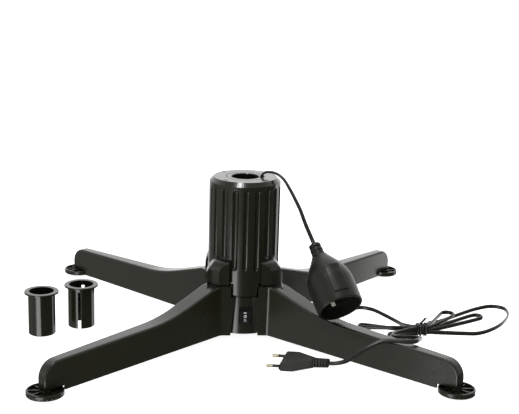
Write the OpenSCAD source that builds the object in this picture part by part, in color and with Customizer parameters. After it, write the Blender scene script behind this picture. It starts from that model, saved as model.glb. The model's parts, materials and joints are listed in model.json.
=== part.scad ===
// Rotating christmas tree stand: a fluted column on four legs, with a driven
// socket for the trunk, a turning lead with an earthed coupler, a mains cord
// bound in a bow, and two loose reducing sleeves. Millimetres, +Z up, origin
// where the column's axis meets the floor, front towards -Y.

/* [Column] */
// Height from the floor to the top of the cover
stand_h = 200; // [190:1:230]
// Outer diameter of the fluted housing
column_d = 91.8; // [90.4:0.2:94]
// Wall of the housing between the flutes
column_wall = 5.9; // [5:0.1:6.4]
// Number of flutes round the housing
flute_count = 20; // [12:4:24]
// Diameter of the cutter that sweeps a flute
flute_d = 8.4; // [6:0.2:9]
// Depth of a flute
flute_depth = 3.2; // [2:0.1:3.6]
// Height of the cover above its seam
cover_h = 8; // [7:0.5:12]
// Width of the chamfer round the cover
cover_chamfer = 5.2; // [3:0.1:5.6]
// Radius of the circle of the cover's screws
cover_screw_r = 37.2; // [36.6:0.1:37.6]

/* [Socket] */
// Bore for the trunk
bore_d = 35.4; // [34:0.1:36]
// Thickness of the socket's floor above the slip rings
socket_floor = 4; // [2:0.5:8]
// Wall of the socket's tube
socket_wall = 2.5; // [1.8:0.1:3]
// Diameter of the socket's head, which turns in the cover
head_d = 48.4; // [48:0.1:49]
// Height of the socket's head
head_h = 18; // [16:1:24]

/* [Drive] */
// Module of the gear teeth
gear_module = 1; // [0.9:0.05:1.05]
// Teeth on the large gear
gear_teeth = 32; // [30:1:34]
// Teeth on the motor's pinion
pinion_teeth = 12; // [12:1:13]
// Width of the large gear
gear_w = 10; // [7:0.5:11]
// Diameter of the gear motor
motor_d = 42; // [38:1:43]
// Height of the gear motor
motor_h = 20; // [15:1:24]
// Diameter of the bearing balls
ball_d = 5; // [4.4:0.1:5.4]
// Number of bearing balls
ball_count = 10; // [6:1:12]
// Diameter of the socket's stub shaft
stub_d = 12; // [9:0.5:13]
// Diameter of the brass slip rings
ring_d = 34; // [30:0.5:36]

/* [Hub] */
// Distance between the hub's flat sides, over the legs' blocks
hub_w = 97.2; // [95:0.2:100]
// Outer diameter of the hub's core
core_d = 78; // [76:0.5:78.4]
// Wall of the hub's core
core_wall = 3; // [2:0.1:3.4]
// Height of the top of the legs' blocks
block_h = 66.5; // [60:0.5:70]
// Thickness of the plate that carries the motor
deck_t = 4; // [3:0.5:6]
// Dark gap between the shoulders and the legs' blocks
shoulder_gap = 2; // [1:0.1:4]
// Radius of the shoulders over the legs
shoulder_r = 59; // [57:0.5:61]
// Height of a shoulder's straight side
shoulder_h = 15.5; // [10:0.5:20]
// Rise of a shoulder's rounded top
shoulder_rise = 15; // [10:0.5:20]
// Width of a hanging tongue
tongue_w = 31.4; // [26:0.2:32]

/* [Legs] */
// Distance from the axis to a leg's end
leg_reach = 333.2; // [300:0.2:360]
// Width of a leg at its root
leg_root_w = 26; // [22:0.5:30]
// Width of a leg at its end
leg_tip_w = 14; // [13:0.5:18]
// Height of a leg where its ramp ends
leg_knee_h = 41.8; // [36:0.2:46]
// Radius at which a leg's ramp ends
leg_knee_r = 145; // [130:1:160]
// Height of a leg near its end
leg_tip_h = 38.4; // [34:0.2:41]
// Wall of a leg
leg_wall = 2.5; // [2:0.1:3.5]
// Height of a leg's lower edge above the floor
leg_clear = 1; // [0.5:0.1:3]
// Diameter of a levelling disc
foot_d = 43; // [36:0.5:46]
// Height of a levelling disc
foot_h = 6; // [5:0.5:8]
// Diameter of a levelling disc's stud
stud_d = 5; // [4:0.1:6]
// How far a levelling disc can be screwed out
foot_travel = 6; // [3:0.5:8]

/* [Switch] */
// Width of the rocker switch's frame
bezel_w = 15; // [14.6:0.1:17]
// Height of the rocker switch's frame
bezel_h = 21; // [20.6:0.1:23]
// Height of the middle of the switch above the floor
switch_z = 26; // [22:0.5:28]
// Distance of the switch from the middle of its panel
switch_x = 1; // [-1:0.5:1]

/* [Sleeves] */
// Height of a reducing sleeve
sleeve_h = 55.7; // [45:0.1:70]
// Outer diameter of a reducing sleeve
sleeve_d = 34.4; // [33:0.1:34.6]
// Bore of a reducing sleeve
sleeve_bore = 31.1; // [28:0.1:31.6]
// Diameter of a reducing sleeve's flange
flange_d = 43.5; // [40:0.5:47]
// Width of the slits in the split sleeve
slit_w = 4; // [2:0.2:6]

/* [Coupler and cords] */
// Largest diameter of the coupler
coupler_d = 58; // [56:0.5:60]
// Length of the coupler with its boot
coupler_l = 93; // [88:1:94]
// Opening of the coupler's collar
mouth_d = 50.6; // [48:0.2:52]
// Width of the flat cords
cord_w = 5.4; // [4.8:0.1:5.6]
// Thickness of the flat cords
cord_t = 3.3; // [2.8:0.1:3.5]
// Width of the flat plug
plug_w = 32; // [30:0.1:34]
// Thickness of the flat plug
plug_t = 12.5; // [11.5:0.1:13.5]
// Diameter of the cord tie's coated wire
tie_d = 1.8; // [1.2:0.1:2]

/* [Hidden] */

$fn = 48;
e = 0.01;                 // runs a cut clear of a face
slide = 0.3;              // gap between parts that slide past each other
fit = 0.05;               // gap of a seated or running part
black = [0.14, 0.14, 0.13];
grey = [0.3, 0.3, 0.29];
steel = [0.72, 0.72, 0.7];
brass = [0.8, 0.66, 0.36];

// Angles of the four legs, front left first
leg_angles = [225, 315, 135, 45];

// Levels from the floor up
plate_z = 1.5;
plate_t = 3;
deck_z = block_h - 4.5;
deck_top = deck_z + deck_t;
seam_z = stand_h - cover_h;
head_z = stand_h - head_h;
shoulder_z = block_h + shoulder_gap;
panel_top = 52;

// Radii of the column
column_r = column_d / 2;
housing_in = column_r - column_wall;
core_r = core_d / 2;
core_in = core_r - core_wall;
panel_r = column_r - 0.6;
half_hub = hub_w / 2;
channel = 20.3;           // half width of the smooth panels between the shoulders

// Bearing and drive stack above the deck
race_t = 3;
race_r = 14;
race_gap = 2;
race_w = 7;
ball_z = deck_top + race_t + race_gap / 2;
upper_z = ball_z + race_gap / 2;
gear_z = upper_z + race_t;
flange_z = gear_z + gear_w;
flange_t = 4;
drum_z = flange_z + flange_t;
bush_r = race_r - race_w / 2 - 1.5;
spigot_r = race_r - race_w / 2 - 0.1;
drum_r = ring_d / 2 - 2;
ring_step = 6;
drum_top = drum_z + 2 * ring_step;
drum_flare = 2;
bore_z = drum_top + drum_flare + socket_floor;
bore_depth = stand_h - bore_z;
pinion_y = gear_module * (gear_teeth + pinion_teeth) / 2;
motor_y = pinion_y - 9;
shaft_r = 3;

// Fasteners
screw_d = 3;
screw_head_d = 6;
screw_head_h = 2.2;
screw_hole = screw_d + 0.4;
cover_screw_d = 2.5;
cover_head_d = 5;
cover_head_h = 1.6;
cover_boss_r = 3.2;
cover_boss_h = 17;
deck_screw_r = 33;
lug_r = 3.5;
lug_t = 4;
ear_x = motor_d / 2 + 4;
leg_screw_r = 52;
leg_screw_d = 4.8;
pillar_r = 5.5;
head_seat = 30;           // height of the leg screws' heads
key_w = 6;
key_head = 12;
base_screw_r = 31;

// Feet
foot_r = leg_reach - 5;
notch_r = foot_r - foot_d / 2 - 1.2;
foot_gap = 0.4;
stud_top = foot_h + foot_gap + 14;

// Where the lead leaves the turning socket
exit_r = head_d / 2 - cord_t / 2 - 1.15;
exit_angle = -5;
collar_h = 1.2;

// Coupler: its boot's start and its attitude
coupler_at = [84.5, -62.6, 126.2];
coupler_turn = [12, 40.8, -68];
collar_x = 62;            // where the body is widest
neck_x = 17.7;            // where the boot meets the body
neck_r = 10;
insert_x = coupler_l - 13;
bowl_x = 50;              // where the coupler's bore starts
insert_r = mouth_d / 2 - fit;
pin_pitch = 19;
pin_hole_r = 2.95;

// Plug: the middle of its front face and its attitude
plug_at = [39.5, -162.2, 11];
plug_turn = [-24.3, 10.2, 145];
plug_l = 40;
plug_boot_l = 21;
plug_pin_l = 19;
plug_pin_pitch = 17.6;
pin_root = 9.5;           // how far a pin reaches into the body
pin_r = 2;
pin_stem_r = 1.5;
pin_sleeve_r = 1.8;
pin_sleeve_l = 9.5;
pin_tip = 0.9;

// Tie: where the cord's passes lie side by side
tie_at = [231, -44];
tie_angle = 12;
tie_half = 8;
pass_w = cord_t + 0.7;
pass_h = cord_w + 0.6;
lying_z = cord_w / 2 + 0.35;
low_pass = tie_d + 0.3 + cord_w / 2;
high_pass = low_pass + pass_h;

// ---------------------------------------------------------------- helpers

function unit(v) = v / norm(v);
function lerp(a, b, t) = a + (b - a) * t;

// Vector v turned as rotate(a) turns it
function turned3(v, a) =
    let (y = v[1] * cos(a[0]) - v[2] * sin(a[0]),
         w = v[1] * sin(a[0]) + v[2] * cos(a[0]),
         x = v[0] * cos(a[1]) + w * sin(a[1]),
         z = w * cos(a[1]) - v[0] * sin(a[1]))
    [x * cos(a[2]) - y * sin(a[2]), x * sin(a[2]) + y * cos(a[2]), z];

// Point at t between b and c on a smooth curve through a, b, c and d
function curve_point(a, b, c, d, t) =
    let (k1 = sqrt(norm(b - a)),
         k2 = k1 + sqrt(norm(c - b)),
         k3 = k2 + sqrt(norm(d - c)),
         k = lerp(k1, k2, t),
         a1 = ((k1 - k) * a + k * b) / k1,
         a2 = ((k2 - k) * b + (k - k1) * c) / (k2 - k1),
         a3 = ((k3 - k) * c + (k - k2) * d) / (k3 - k2),
         b1 = ((k2 - k) * a1 + k * a2) / k2,
         b2 = ((k3 - k) * a2 + (k - k1) * a3) / (k3 - k1))
    ((k2 - k) * b1 + (k - k1) * b2) / (k2 - k1);

// Smooth route through points p, with a point about every step
function route(p, step) =
    let (n = len(p),
         q = concat([2 * p[0] - p[1]], p, [2 * p[n - 1] - p[n - 2]]))
    concat([for (i = [1 : n - 1])
            let (m = max(1, ceil(norm(q[i + 1] - q[i]) / step)))
            for (k = [0 : m - 1])
                curve_point(q[i - 1], q[i], q[i + 1], q[i + 2], k / m)],
        [p[n - 1]]);

function tangent(p, i) =
    unit(p[min(i + 1, len(p) - 1)] - p[max(i - 1, 0)]);

// Wide direction of a flat cord at ring i, as near to the given one as can be
function across(p, i, wide) =
    let (t = tangent(p, i), w = wide - (wide * t) * t)
    unit(w);

// Outline of a flat cord with 8 or 6 sides: [thickness, width] of each corner
function flat8(t, w) =
    let (f = t * 0.21, g = w / 2 - t * 0.29)
    [[t / 2, g], [f, w / 2], [-f, w / 2], [-t / 2, g],
     [-t / 2, -g], [-f, -w / 2], [f, -w / 2], [t / 2, -g]];
function flat6(t, w) =
    let (g = w / 2 - t * 0.4)
    [[t / 2, g], [0, w / 2], [-t / 2, g], [-t / 2, -g], [0, -w / 2], [t / 2, -g]];
function round6(d) = [for (i = [0 : 5]) d / 2 * [cos(60 * i), sin(60 * i)]];

// Corners of every ring of a section swept along p; from_wide turns to to_wide
function rings(p, section, from_wide, to_wide) =
    [for (i = [0 : len(p) - 1])
        let (w = across(p, i, lerp(from_wide, to_wide, i / (len(p) - 1))),
             n = cross(tangent(p, i), w))
        [for (s = section) p[i] + s[0] * n + s[1] * w]];

// One closed solid of a section swept along the points p
module sweep(p, section, from_wide = [0, 0, 1], to_wide = [0, 0, 1]) {
    ring = rings(p, section, from_wide, to_wide);
    m = len(section);
    last = (len(p) - 1) * m;
    sides = [for (i = [0 : len(p) - 2], j = [0 : m - 1])
        let (a = i * m + j, b = i * m + (j + 1) % m)
        each [[a, b, a + m], [b, b + m, a + m]]];
    start = [for (j = [1 : m - 2]) [0, j + 1, j]];
    end = [for (j = [1 : m - 2]) [last, last + j, last + j + 1]];
    polyhedron(points = [for (r = ring) each r], faces = concat(sides, start, end));
}

// Ring about Z from radius a to radius b
module ring(a, b, z0, z1) {
    rotate_extrude()
        translate([a, z0])
            square([b - a, z1 - z0]);
}

module at_legs() {
    for (a = leg_angles)
        rotate([0, 0, a])
            children();
}

// Screw along +Z with its head at the bottom
module screw_up(d, length, head_d, head_h) {
    difference() {
        union() {
            cylinder(d = head_d, h = head_h);
            cylinder(d = d, h = length);
        }
        translate([0, 0, -e])
            cylinder(d = d * 0.8, h = head_h * 0.6, $fn = 6);
    }
}

module screw_down(d, length, head_d, head_h) {
    rotate([180, 0, 0])
        screw_up(d, length, head_d, head_h);
}

// ---------------------------------------------------------------- housing

// Lengthwise rounded cutter for one flute, standing at the housing's face
module flute_cutter(z0, z1) {
    r = flute_d / 2;
    translate([column_r + r - flute_depth, 0, 0])
        rotate_extrude()
            intersection() {
                union() {
                    translate([0, z0 + r])
                        circle(r);
                    translate([0, z1 - r])
                        circle(r);
                    translate([0, z0 + r])
                        square([r, z1 - z0 - 2 * r]);
                }
                translate([0, z0])
                    square([r + 1, z1 - z0]);
            }
}

// Side outline of a shoulder: straight, then a quarter of an ellipse
function shoulder_side(inset) =
    let (wide = shoulder_r - inset - column_r,
         rise = shoulder_rise - inset,
         z1 = shoulder_z + shoulder_h)
    concat([[column_r - 1, shoulder_z - inset], [shoulder_r - inset, shoulder_z - inset]],
        [for (i = [0 : 9]) [column_r + wide * cos(i * 10), z1 + rise * sin(i * 10)]],
        [[column_r - 1, z1 + rise]]);

// Half outline of the shoulders seen from the front, lower towards their sides
function shoulder_front(inset) =
    let (z = shoulder_z + shoulder_h - 4)
    [for (p = [[half_hub, shoulder_z - z - 1], [half_hub, 0], [half_hub - 1.2, 4.5],
            [column_r - 0.2, 8.4], [column_r - 6, 16], [column_r - 14, 22]])
        [p[0] - inset, z + p[1] - inset]];

// The four shoulders as solids, or their hollows when inset by the wall
module shoulders(inset) {
    side = hub_w - 2 * inset;
    gap = channel + inset;
    half = shoulder_front(inset);
    difference() {
        intersection() {
            rotate_extrude($fn = 96)
                polygon(shoulder_side(inset));
            rotate([90, 0, 0])
                translate([0, 0, -side / 2])
                    linear_extrude(side)
                        polygon(concat(half,
                            [for (i = [len(half) - 1 : -1 : 0]) [-half[i][0], half[i][1]]]));
        }
        for (a = [0, 90])
            rotate([0, 0, a])
                translate([-gap, -hub_w, shoulder_z - inset - 2])
                    cube([2 * gap, 2 * hub_w, shoulder_h + shoulder_rise + inset + 4]);
    }
}

module column_housing() {
    tongue_z = panel_top + 0.2;
    long_z = shoulder_z + 16.9;
    short_z = shoulder_z + shoulder_h + shoulder_rise - 0.1;
    color(black)
        difference() {
            union() {
                difference() {
                    union() {
                        ring(housing_in, column_r, shoulder_z, seam_z);
                        difference() {
                            shoulders(0);
                            shoulders(leg_wall);
                        }
                    }
                    for (i = [0 : flute_count - 1]) {
                        a = i * 360 / flute_count;
                        off = abs((a + 45) % 90 - 45);
                        rotate([0, 0, a])
                            flute_cutter(off < 24 ? long_z : short_z, seam_z - 1.3);
                    }
                    translate([0, 0, shoulder_z - 5])
                        cylinder(r = housing_in, h = shoulder_h + shoulder_rise + 10);
                }
                // tongues between the legs' blocks
                intersection() {
                    ring(housing_in, column_r, tongue_z, shoulder_z + 1);
                    for (a = [0, 90])
                        rotate([0, 0, a])
                            translate([-tongue_w / 2, -column_d, tongue_z])
                                cube([tongue_w, 2 * column_d, shoulder_z + 1 - tongue_z]);
                }
                // lugs that clamp the deck, and bosses for the cover's screws
                intersection() {
                    cylinder(r = housing_in + 1, h = stand_h);
                    at_legs() {
                        translate([deck_screw_r, -lug_r, deck_top])
                            cube([column_r - deck_screw_r, 2 * lug_r, lug_t]);
                        translate([deck_screw_r, 0, deck_top])
                            cylinder(r = lug_r, h = lug_t);
                        translate([cover_screw_r, 0, seam_z - cover_boss_h - 3])
                            cylinder(r = cover_boss_r, h = cover_boss_h);
                    }
                }
                ring(housing_in, housing_in + 1, deck_top, shoulder_z + 1);
                // pillars that the legs' screws pull down on the legs
                intersection() {
                    union() {
                        shoulders(0);
                        at_legs()
                            translate([leg_screw_r, 0, block_h])
                                cylinder(r = 4.5, h = shoulder_gap + 1);
                    }
                    at_legs()
                        translate([leg_screw_r, 0, block_h])
                            cylinder(r = 4.5, h = 40);
                }
            }
            at_legs() {
                translate([leg_screw_r, 0, block_h - 1])
                    cylinder(d = leg_screw_d + 2 * fit, h = 19);
                translate([deck_screw_r, 0, deck_top - 1])
                    cylinder(d = screw_hole, h = lug_t + 2);
                translate([cover_screw_r, 0, seam_z - cover_boss_h + 1])
                    cylinder(d = cover_screw_d + 2 * fit, h = cover_boss_h + 3);
            }
        }
}

module top_cover() {
    gap_r = head_d / 2 + 0.7;
    seat_r = head_d / 2 + 3.85;
    color(black)
        difference() {
            union() {
                rotate_extrude()
                    polygon([[gap_r, seam_z], [column_r, seam_z],
                        [column_r, stand_h - cover_chamfer],
                        [column_r - cover_chamfer, stand_h], [gap_r, stand_h]]);
                ring(housing_in - 2, housing_in - fit, seam_z - 2.5, seam_z + 1);
                ring(seat_r, seat_r + 2.5, seam_z - 8, seam_z + 1);
            }
            translate([0, 0, seam_z - 8 - e])
                cylinder(r = seat_r, h = 8 + e);
            at_legs()
                translate([cover_screw_r, 0, 0]) {
                    translate([0, 0, seam_z - 5])
                        cylinder(d = cover_screw_d + 0.5, h = cover_h + 6);
                    translate([0, 0, stand_h - cover_head_h - 0.4])
                        cylinder(d = cover_head_d + 0.6, h = 3);
                    translate([0, 0, seam_z - 5])
                        cylinder(r = cover_boss_r + slide, h = 5);
                }
        }
}

module cover_screws() {
    color(steel)
        at_legs()
            translate([cover_screw_r, 0, stand_h - 0.4])
                screw_down(cover_screw_d, cover_h + cover_boss_h - 3, cover_head_d,
                    cover_head_h);
}

module top_bearing() {
    color("white")
        ring(head_d / 2 + 0.07, head_d / 2 + 3.8, seam_z - 6.5, seam_z);
}

// ---------------------------------------------------------------- drive

module motor_deck() {
    color(grey)
        difference() {
            union() {
                translate([0, 0, deck_z])
                    cylinder(r = core_r, h = deck_t);
                translate([0, 0, deck_z])
                    cylinder(r = bush_r, h = deck_t + 5);
            }
            translate([0, 0, deck_z - 1])
                cylinder(d = stub_d + 2 * fit, h = deck_t + 8);
            translate([0, pinion_y, deck_z - 1])
                cylinder(r = 5.5, h = deck_t + 2);
            at_legs()
                translate([deck_screw_r, 0, deck_z - 1])
                    cylinder(d = screw_hole, h = deck_t + 2);
            for (s = [-1, 1])
                translate([s * ear_x, motor_y, deck_z - 1])
                    cylinder(d = 3.2, h = deck_t + 2);
            // way through for the brushes' wires
            translate([-27, -14, deck_z - 1])
                cylinder(r = 3, h = deck_t + 2);
        }
}

module deck_screws() {
    color(steel)
        at_legs()
            translate([deck_screw_r, 0, deck_top + lug_t + screw_head_h])
                screw_down(screw_d, deck_t + lug_t + 10, screw_head_d, screw_head_h);
}

module gear_motor() {
    color(steel)
        difference() {
            union() {
                translate([0, motor_y, deck_z - motor_h])
                    cylinder(d = motor_d, h = motor_h);
                translate([0, motor_y, deck_z - motor_h - 1])
                    cylinder(d = motor_d * 0.7, h = 1);
                translate([-ear_x, motor_y - 3.5, deck_z - 1.5])
                    cube([2 * ear_x, 7, 1.5]);
                for (s = [-1, 1])
                    translate([s * ear_x, motor_y, deck_z - 1.5])
                        cylinder(r = 3.5, h = 1.5);
                translate([0, pinion_y, deck_z - 1])
                    cylinder(r = 5, h = 3);
            }
            for (s = [-1, 1])
                translate([s * ear_x, motor_y, deck_z - 2])
                    cylinder(d = screw_d + 2 * fit, h = 3);
            translate([0, pinion_y, deck_z - 6])
                cylinder(r = shaft_r + fit, h = 10);
        }
}

module motor_screws() {
    color(steel)
        for (s = [-1, 1])
            translate([s * ear_x, motor_y, deck_top + 2])
                screw_down(screw_d, deck_t + 5, screw_head_d - 0.5, 2);
}

module motor_shaft() {
    color(steel)
        translate([0, pinion_y, deck_z - 5.5])
            difference() {
                cylinder(r = shaft_r, h = gear_z + gear_w - deck_z + 5);
                translate([shaft_r - 0.5, -5, gear_z - deck_z + 5.5])
                    cube([5, 10, gear_w + 5]);
            }
}

// Point of an involute from base radius rb, out to radius r
function involute(rb, r, dir) =
    let (phi = sqrt(max(0, r * r / rb / rb - 1)) * 180 / PI,
         a = dir * (phi - atan(phi * PI / 180)))
    r * [cos(a), sin(a)];

function turned(p, a) = [p[0] * cos(a) - p[1] * sin(a), p[0] * sin(a) + p[1] * cos(a)];

// Outline of a spur gear, a tooth pointing along +X
function gear_outline(teeth) =
    let (rp = gear_module * teeth / 2,
         rb = rp * cos(20),
         ro = rp + gear_module * 0.85,
         rr = rp - gear_module * 1.15,
         phi = sqrt(rp * rp / rb / rb - 1) * 180 / PI,
         lead = phi - atan(phi * PI / 180),
         half = 90 / teeth - 0.12 * gear_module / rp * 180 / PI + lead,
         flank = [for (k = [0 : 3]) lerp(max(rb, rr + 0.2), ro, k / 3)])
    [for (i = [0 : teeth - 1])
        let (a = i * 360 / teeth)
        each concat(
            [turned([rr, 0], a - half - 0.4)],
            [for (r = flank) turned(involute(rb, r, 1), a - half)],
            [for (k = [3 : -1 : 0]) turned(involute(rb, flank[k], -1), a + half)],
            [turned([rr, 0], a + half + 0.4)])];

module pinion() {
    color("white")
        translate([0, pinion_y, gear_z + 0.5])
            difference() {
                rotate([0, 0, 90 + 180 / pinion_teeth])
                    linear_extrude(gear_w - 1)
                        polygon(gear_outline(pinion_teeth));
                intersection() {
                    translate([0, 0, -1])
                        cylinder(r = shaft_r + fit, h = gear_w + 2);
                    translate([-10, -10, -1])
                        cube([10 + shaft_r - 0.5 + fit, 20, gear_w + 2]);
                }
            }
}

module drive_gear() {
    color("white")
        difference() {
            translate([0, 0, gear_z])
                union() {
                    rotate([0, 0, 90])
                        linear_extrude(gear_w)
                            polygon(gear_outline(gear_teeth));
                    translate([0, 0, -1.4])
                        ring(spigot_r - 0.8, spigot_r, 0, 1.4 + e);
                }
            translate([0, 0, gear_z - 2])
                cylinder(r = stub_d / 2 + 2 + fit, h = gear_w + 4);
            // pockets for the socket's three driving lugs
            for (a = [30 : 120 : 270])
                rotate([0, 0, a])
                    translate([stub_d / 2 + 5.5, 0, flange_z - 3])
                        cylinder(r = 2 + fit, h = 4);
        }
}

module race(z, groove_z) {
    difference() {
        ring(race_r - race_w / 2, race_r + race_w / 2, z, z + race_t);
        rotate_extrude()
            translate([race_r, groove_z])
                circle(ball_d / 2 + fit);
    }
}

module lower_race() {
    color(steel) {
        race(deck_top, ball_z);
        // rim that centres the race on the deck's bush
        ring(bush_r + fit, race_r - race_w / 2 + 0.5, deck_top, deck_top + 1.2);
    }
}

module upper_race() {
    color(steel)
        race(upper_z, ball_z);
}

module bearing_cage() {
    color(brass)
        difference() {
            ring(race_r - 2.9, race_r + 2.9, ball_z - 0.6, ball_z + 0.6);
            for (i = [0 : ball_count - 1])
                rotate([0, 0, i * 360 / ball_count])
                    translate([race_r, 0, ball_z - 2])
                        cylinder(d = ball_d + 2 * fit, h = 4);
        }
}

module bearing_balls() {
    color(steel)
        for (i = [0 : ball_count - 1])
            rotate([0, 0, i * 360 / ball_count])
                translate([race_r, 0, ball_z])
                    sphere(d = ball_d);
}

// ---------------------------------------------------------------- socket

// Box along the lead's way up the socket, grown by g on every side
module lead_way(g, z0, z1) {
    rotate([0, 0, exit_angle])
        translate([exit_r - cord_t / 2 - 0.3 - g, -cord_w / 2 - 0.4 - g, z0])
            cube([cord_t + 0.6 + 2 * g, cord_w + 0.8 + 2 * g, z1 - z0]);
}

module socket_rotor() {
    tube_r = bore_d / 2 + socket_wall;
    color(black)
        difference() {
            union() {
                rotate_extrude($fn = 96)
                    polygon([[0, deck_z + 0.5], [stub_d / 2, deck_z + 0.5],
                        [stub_d / 2, gear_z], [stub_d / 2 + 2, gear_z],
                        [stub_d / 2 + 2, flange_z], [tube_r, flange_z],
                        [tube_r, drum_z], [drum_r, drum_z],
                        [drum_r, drum_top], [tube_r, drum_top + drum_flare],
                        [tube_r, head_z - 2], [head_d / 2, head_z],
                        [head_d / 2, stand_h - 0.6], [head_d / 2 - 0.6, stand_h],
                        [0, stand_h]]);
                for (a = [30 : 120 : 270])
                    rotate([0, 0, a])
                        translate([stub_d / 2 + 5.5, 0, flange_z - 2.5])
                            cylinder(r = 2, h = 3.5);
                // insulating collars beside the slip rings
                for (k = [0 : 2])
                    ring(drum_r - 1, drum_r + 2.4,
                        drum_z + k * ring_step - (k == 0 ? 0 : 1),
                        drum_z + k * ring_step + (k == 2 ? 0 : 1));
                intersection() {
                    lead_way(1.1, drum_top, head_z + 1);
                    cylinder(r = head_d / 2, h = stand_h);
                }
            }
            translate([0, 0, bore_z])
                cylinder(d = bore_d, h = bore_depth + 1, $fn = 96);
            translate([0, 0, stand_h - 0.9])
                cylinder(d1 = bore_d, d2 = bore_d + 2, h = 1);
            lead_way(0, drum_top + 3, stand_h + 1);
            lead_way(0.4, stand_h - 8, stand_h + 1);
        }
}

module slip_rings() {
    color(brass)
        for (k = [0, 1])
            ring(drum_r + fit, ring_d / 2, drum_z + k * ring_step + 1 + fit,
                drum_z + (k + 1) * ring_step - 1 - fit);
}

// Rounded bar with the flat cord's section grown by g, along Z
module cord_bar(g, h) {
    linear_extrude(h)
        for (s = [-1, 1])
            hull() {
                translate([0, s * (cord_w - cord_t) / 2])
                    circle(d = cord_t + 2 * g);
                translate([-cord_t / 2 - g, 0])
                    square([cord_t + 2 * g, e]);
            }
}

module lead_grommet() {
    color(grey)
        rotate([0, 0, exit_angle])
            translate([exit_r, 0, stand_h - 7.5])
                difference() {
                    union() {
                        translate([-cord_t / 2 - 0.65, -cord_w / 2 - 0.75, 0])
                            cube([cord_t + 1.3, cord_w + 1.5, 7.5]);
                        translate([-cord_t / 2 - 0.9, -cord_w / 2 - 1.2, 7.5])
                            cube([cord_t + 1.8, cord_w + 2.4, collar_h]);
                    }
                    translate([-cord_t / 2 - fit, -cord_w / 2 - fit, -1])
                        cube([cord_t + 2 * fit, cord_w + 2 * fit, 12]);
                    translate([-cord_t / 2 - 0.4, -cord_w / 2 - 0.4, 6.7])
                        cube([cord_t + 0.8, cord_w + 0.8, 3]);
                }
}

// ---------------------------------------------------------------- brushes

module brush_block() {
    x = -ring_d / 2 - 14;
    color(grey)
        difference() {
            union() {
                translate([x, -12, deck_top])
                    cube([6, 14, drum_top + 2 - deck_top]);
                translate([x - 4, -12, deck_top])
                    cube([12, 14, 3]);
            }
            for (k = [0, 1])
                translate([x + 2.5, -11, drum_z + k * ring_step + 1.8])
                    cube([0.5, 14, 2.4]);
        }
}

// Leaf that leaves its block, touches its ring and flares away
module brushes() {
    x = -ring_d / 2 - 14;
    contact = -ring_d / 2 - 0.3;
    color(brass)
        for (k = [0, 1])
            translate([0, 0, drum_z + k * ring_step + 1.9])
                linear_extrude(2.2)
                    polygon([[x + 2.55, -10.8], [x + 2.95, -10.8], [x + 2.95, 2.1],
                        [contact, 2.2], [contact, 4], [contact - 1.5, 7],
                        [contact - 1.9, 7], [contact - 0.4, 4], [contact - 0.4, 2.6],
                        [x + 2.55, 2.5]]);
}

// ---------------------------------------------------------------- hub

// Half width of a hub panel at height z, narrower towards the top
function panel_half(z) = lerp(17.4, 12.4, (z - 2) / 50);

// Upright block between two slanting sides, as wide as the hub panel less g
module panel_wedge(g, z0, z1) {
    rotate([90, 0, 0])
        translate([0, 0, -hub_w])
            linear_extrude(2 * hub_w)
                polygon([[-panel_half(z0) + g, z0], [panel_half(z0) - g, z0],
                    [panel_half(z1) - g, z1], [-panel_half(z1) + g, z1]]);
}

module base_hub() {
    color(black)
        difference() {
            union() {
                ring(core_in, core_r, plate_z + plate_t, deck_z);
                intersection() {
                    ring(core_r - 1, panel_r, 2, panel_top - 1);
                    union() {
                        panel_wedge(slide, 2, panel_top - 1);
                        rotate([0, 0, 90])
                            panel_wedge(slide, 2, panel_top - 1);
                    }
                }
                // flat seat for the switch's frame
                translate([switch_x - bezel_w / 2 - 1, -panel_r - 0.3, switch_z - bezel_h / 2 - 1])
                    cube([bezel_w + 2, 4, bezel_h + 2]);
                at_legs() {
                    // keys that the legs slide up on
                    translate([core_r - 1, -key_w / 2, 6])
                        cube([4.5, key_w, 52]);
                    translate([core_r + 3.4, -key_head / 2, 6])
                        cube([2.4, key_head, 52]);
                    // lugs under the deck and bosses over the base plate
                    translate([deck_screw_r, 0, deck_z - 12])
                        rotate([0, 0, 180])
                            cylinder(r = lug_r, h = 12);
                    translate([base_screw_r, 0, plate_z + plate_t])
                        cylinder(r = lug_r + 1, h = 14);
                    translate([base_screw_r, -2, plate_z + plate_t])
                        cube([core_in - base_screw_r + 1, 4, 14]);
                }
            }
            at_legs() {
                translate([deck_screw_r, 0, deck_z - 13])
                    cylinder(d = screw_d + 2 * fit, h = 14);
                translate([base_screw_r, 0, plate_z])
                    cylinder(d = screw_d + 2 * fit, h = 15);
            }
            // openings for the switch's body and the mains cord
            translate([switch_x - 6.6, -panel_r - 1, switch_z - 9.7])
                cube([13.2, 20, 19.4]);
            translate([core_in - 4, 0, 12])
                rotate([0, 90, 0])
                    cylinder(r = 4.6, h = 20);
            translate([0, 0, -1])
                cylinder(r = core_r + 1, h = 1 + plate_z + plate_t);
        }
}

module base_plate() {
    color(black)
        difference() {
            union() {
                translate([0, 0, plate_z])
                    cylinder(r = core_r, h = plate_t);
                // low ribs that stiffen the plate
                for (a = [0, 90])
                    rotate([0, 0, a])
                        translate([-core_in + 8, -1, plate_z + plate_t - e])
                            cube([2 * core_in - 16, 2, 2]);
            }
            at_legs()
                translate([base_screw_r, 0, 0]) {
                    cylinder(d = screw_hole, h = 10);
                    cylinder(d = screw_head_d + 0.4, h = plate_z + 1.6);
                }
        }
}

module base_screws() {
    color(steel)
        at_legs()
            translate([base_screw_r, 0, plate_z])
                screw_up(screw_d, 13, screw_head_d, 1.6);
}

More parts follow.
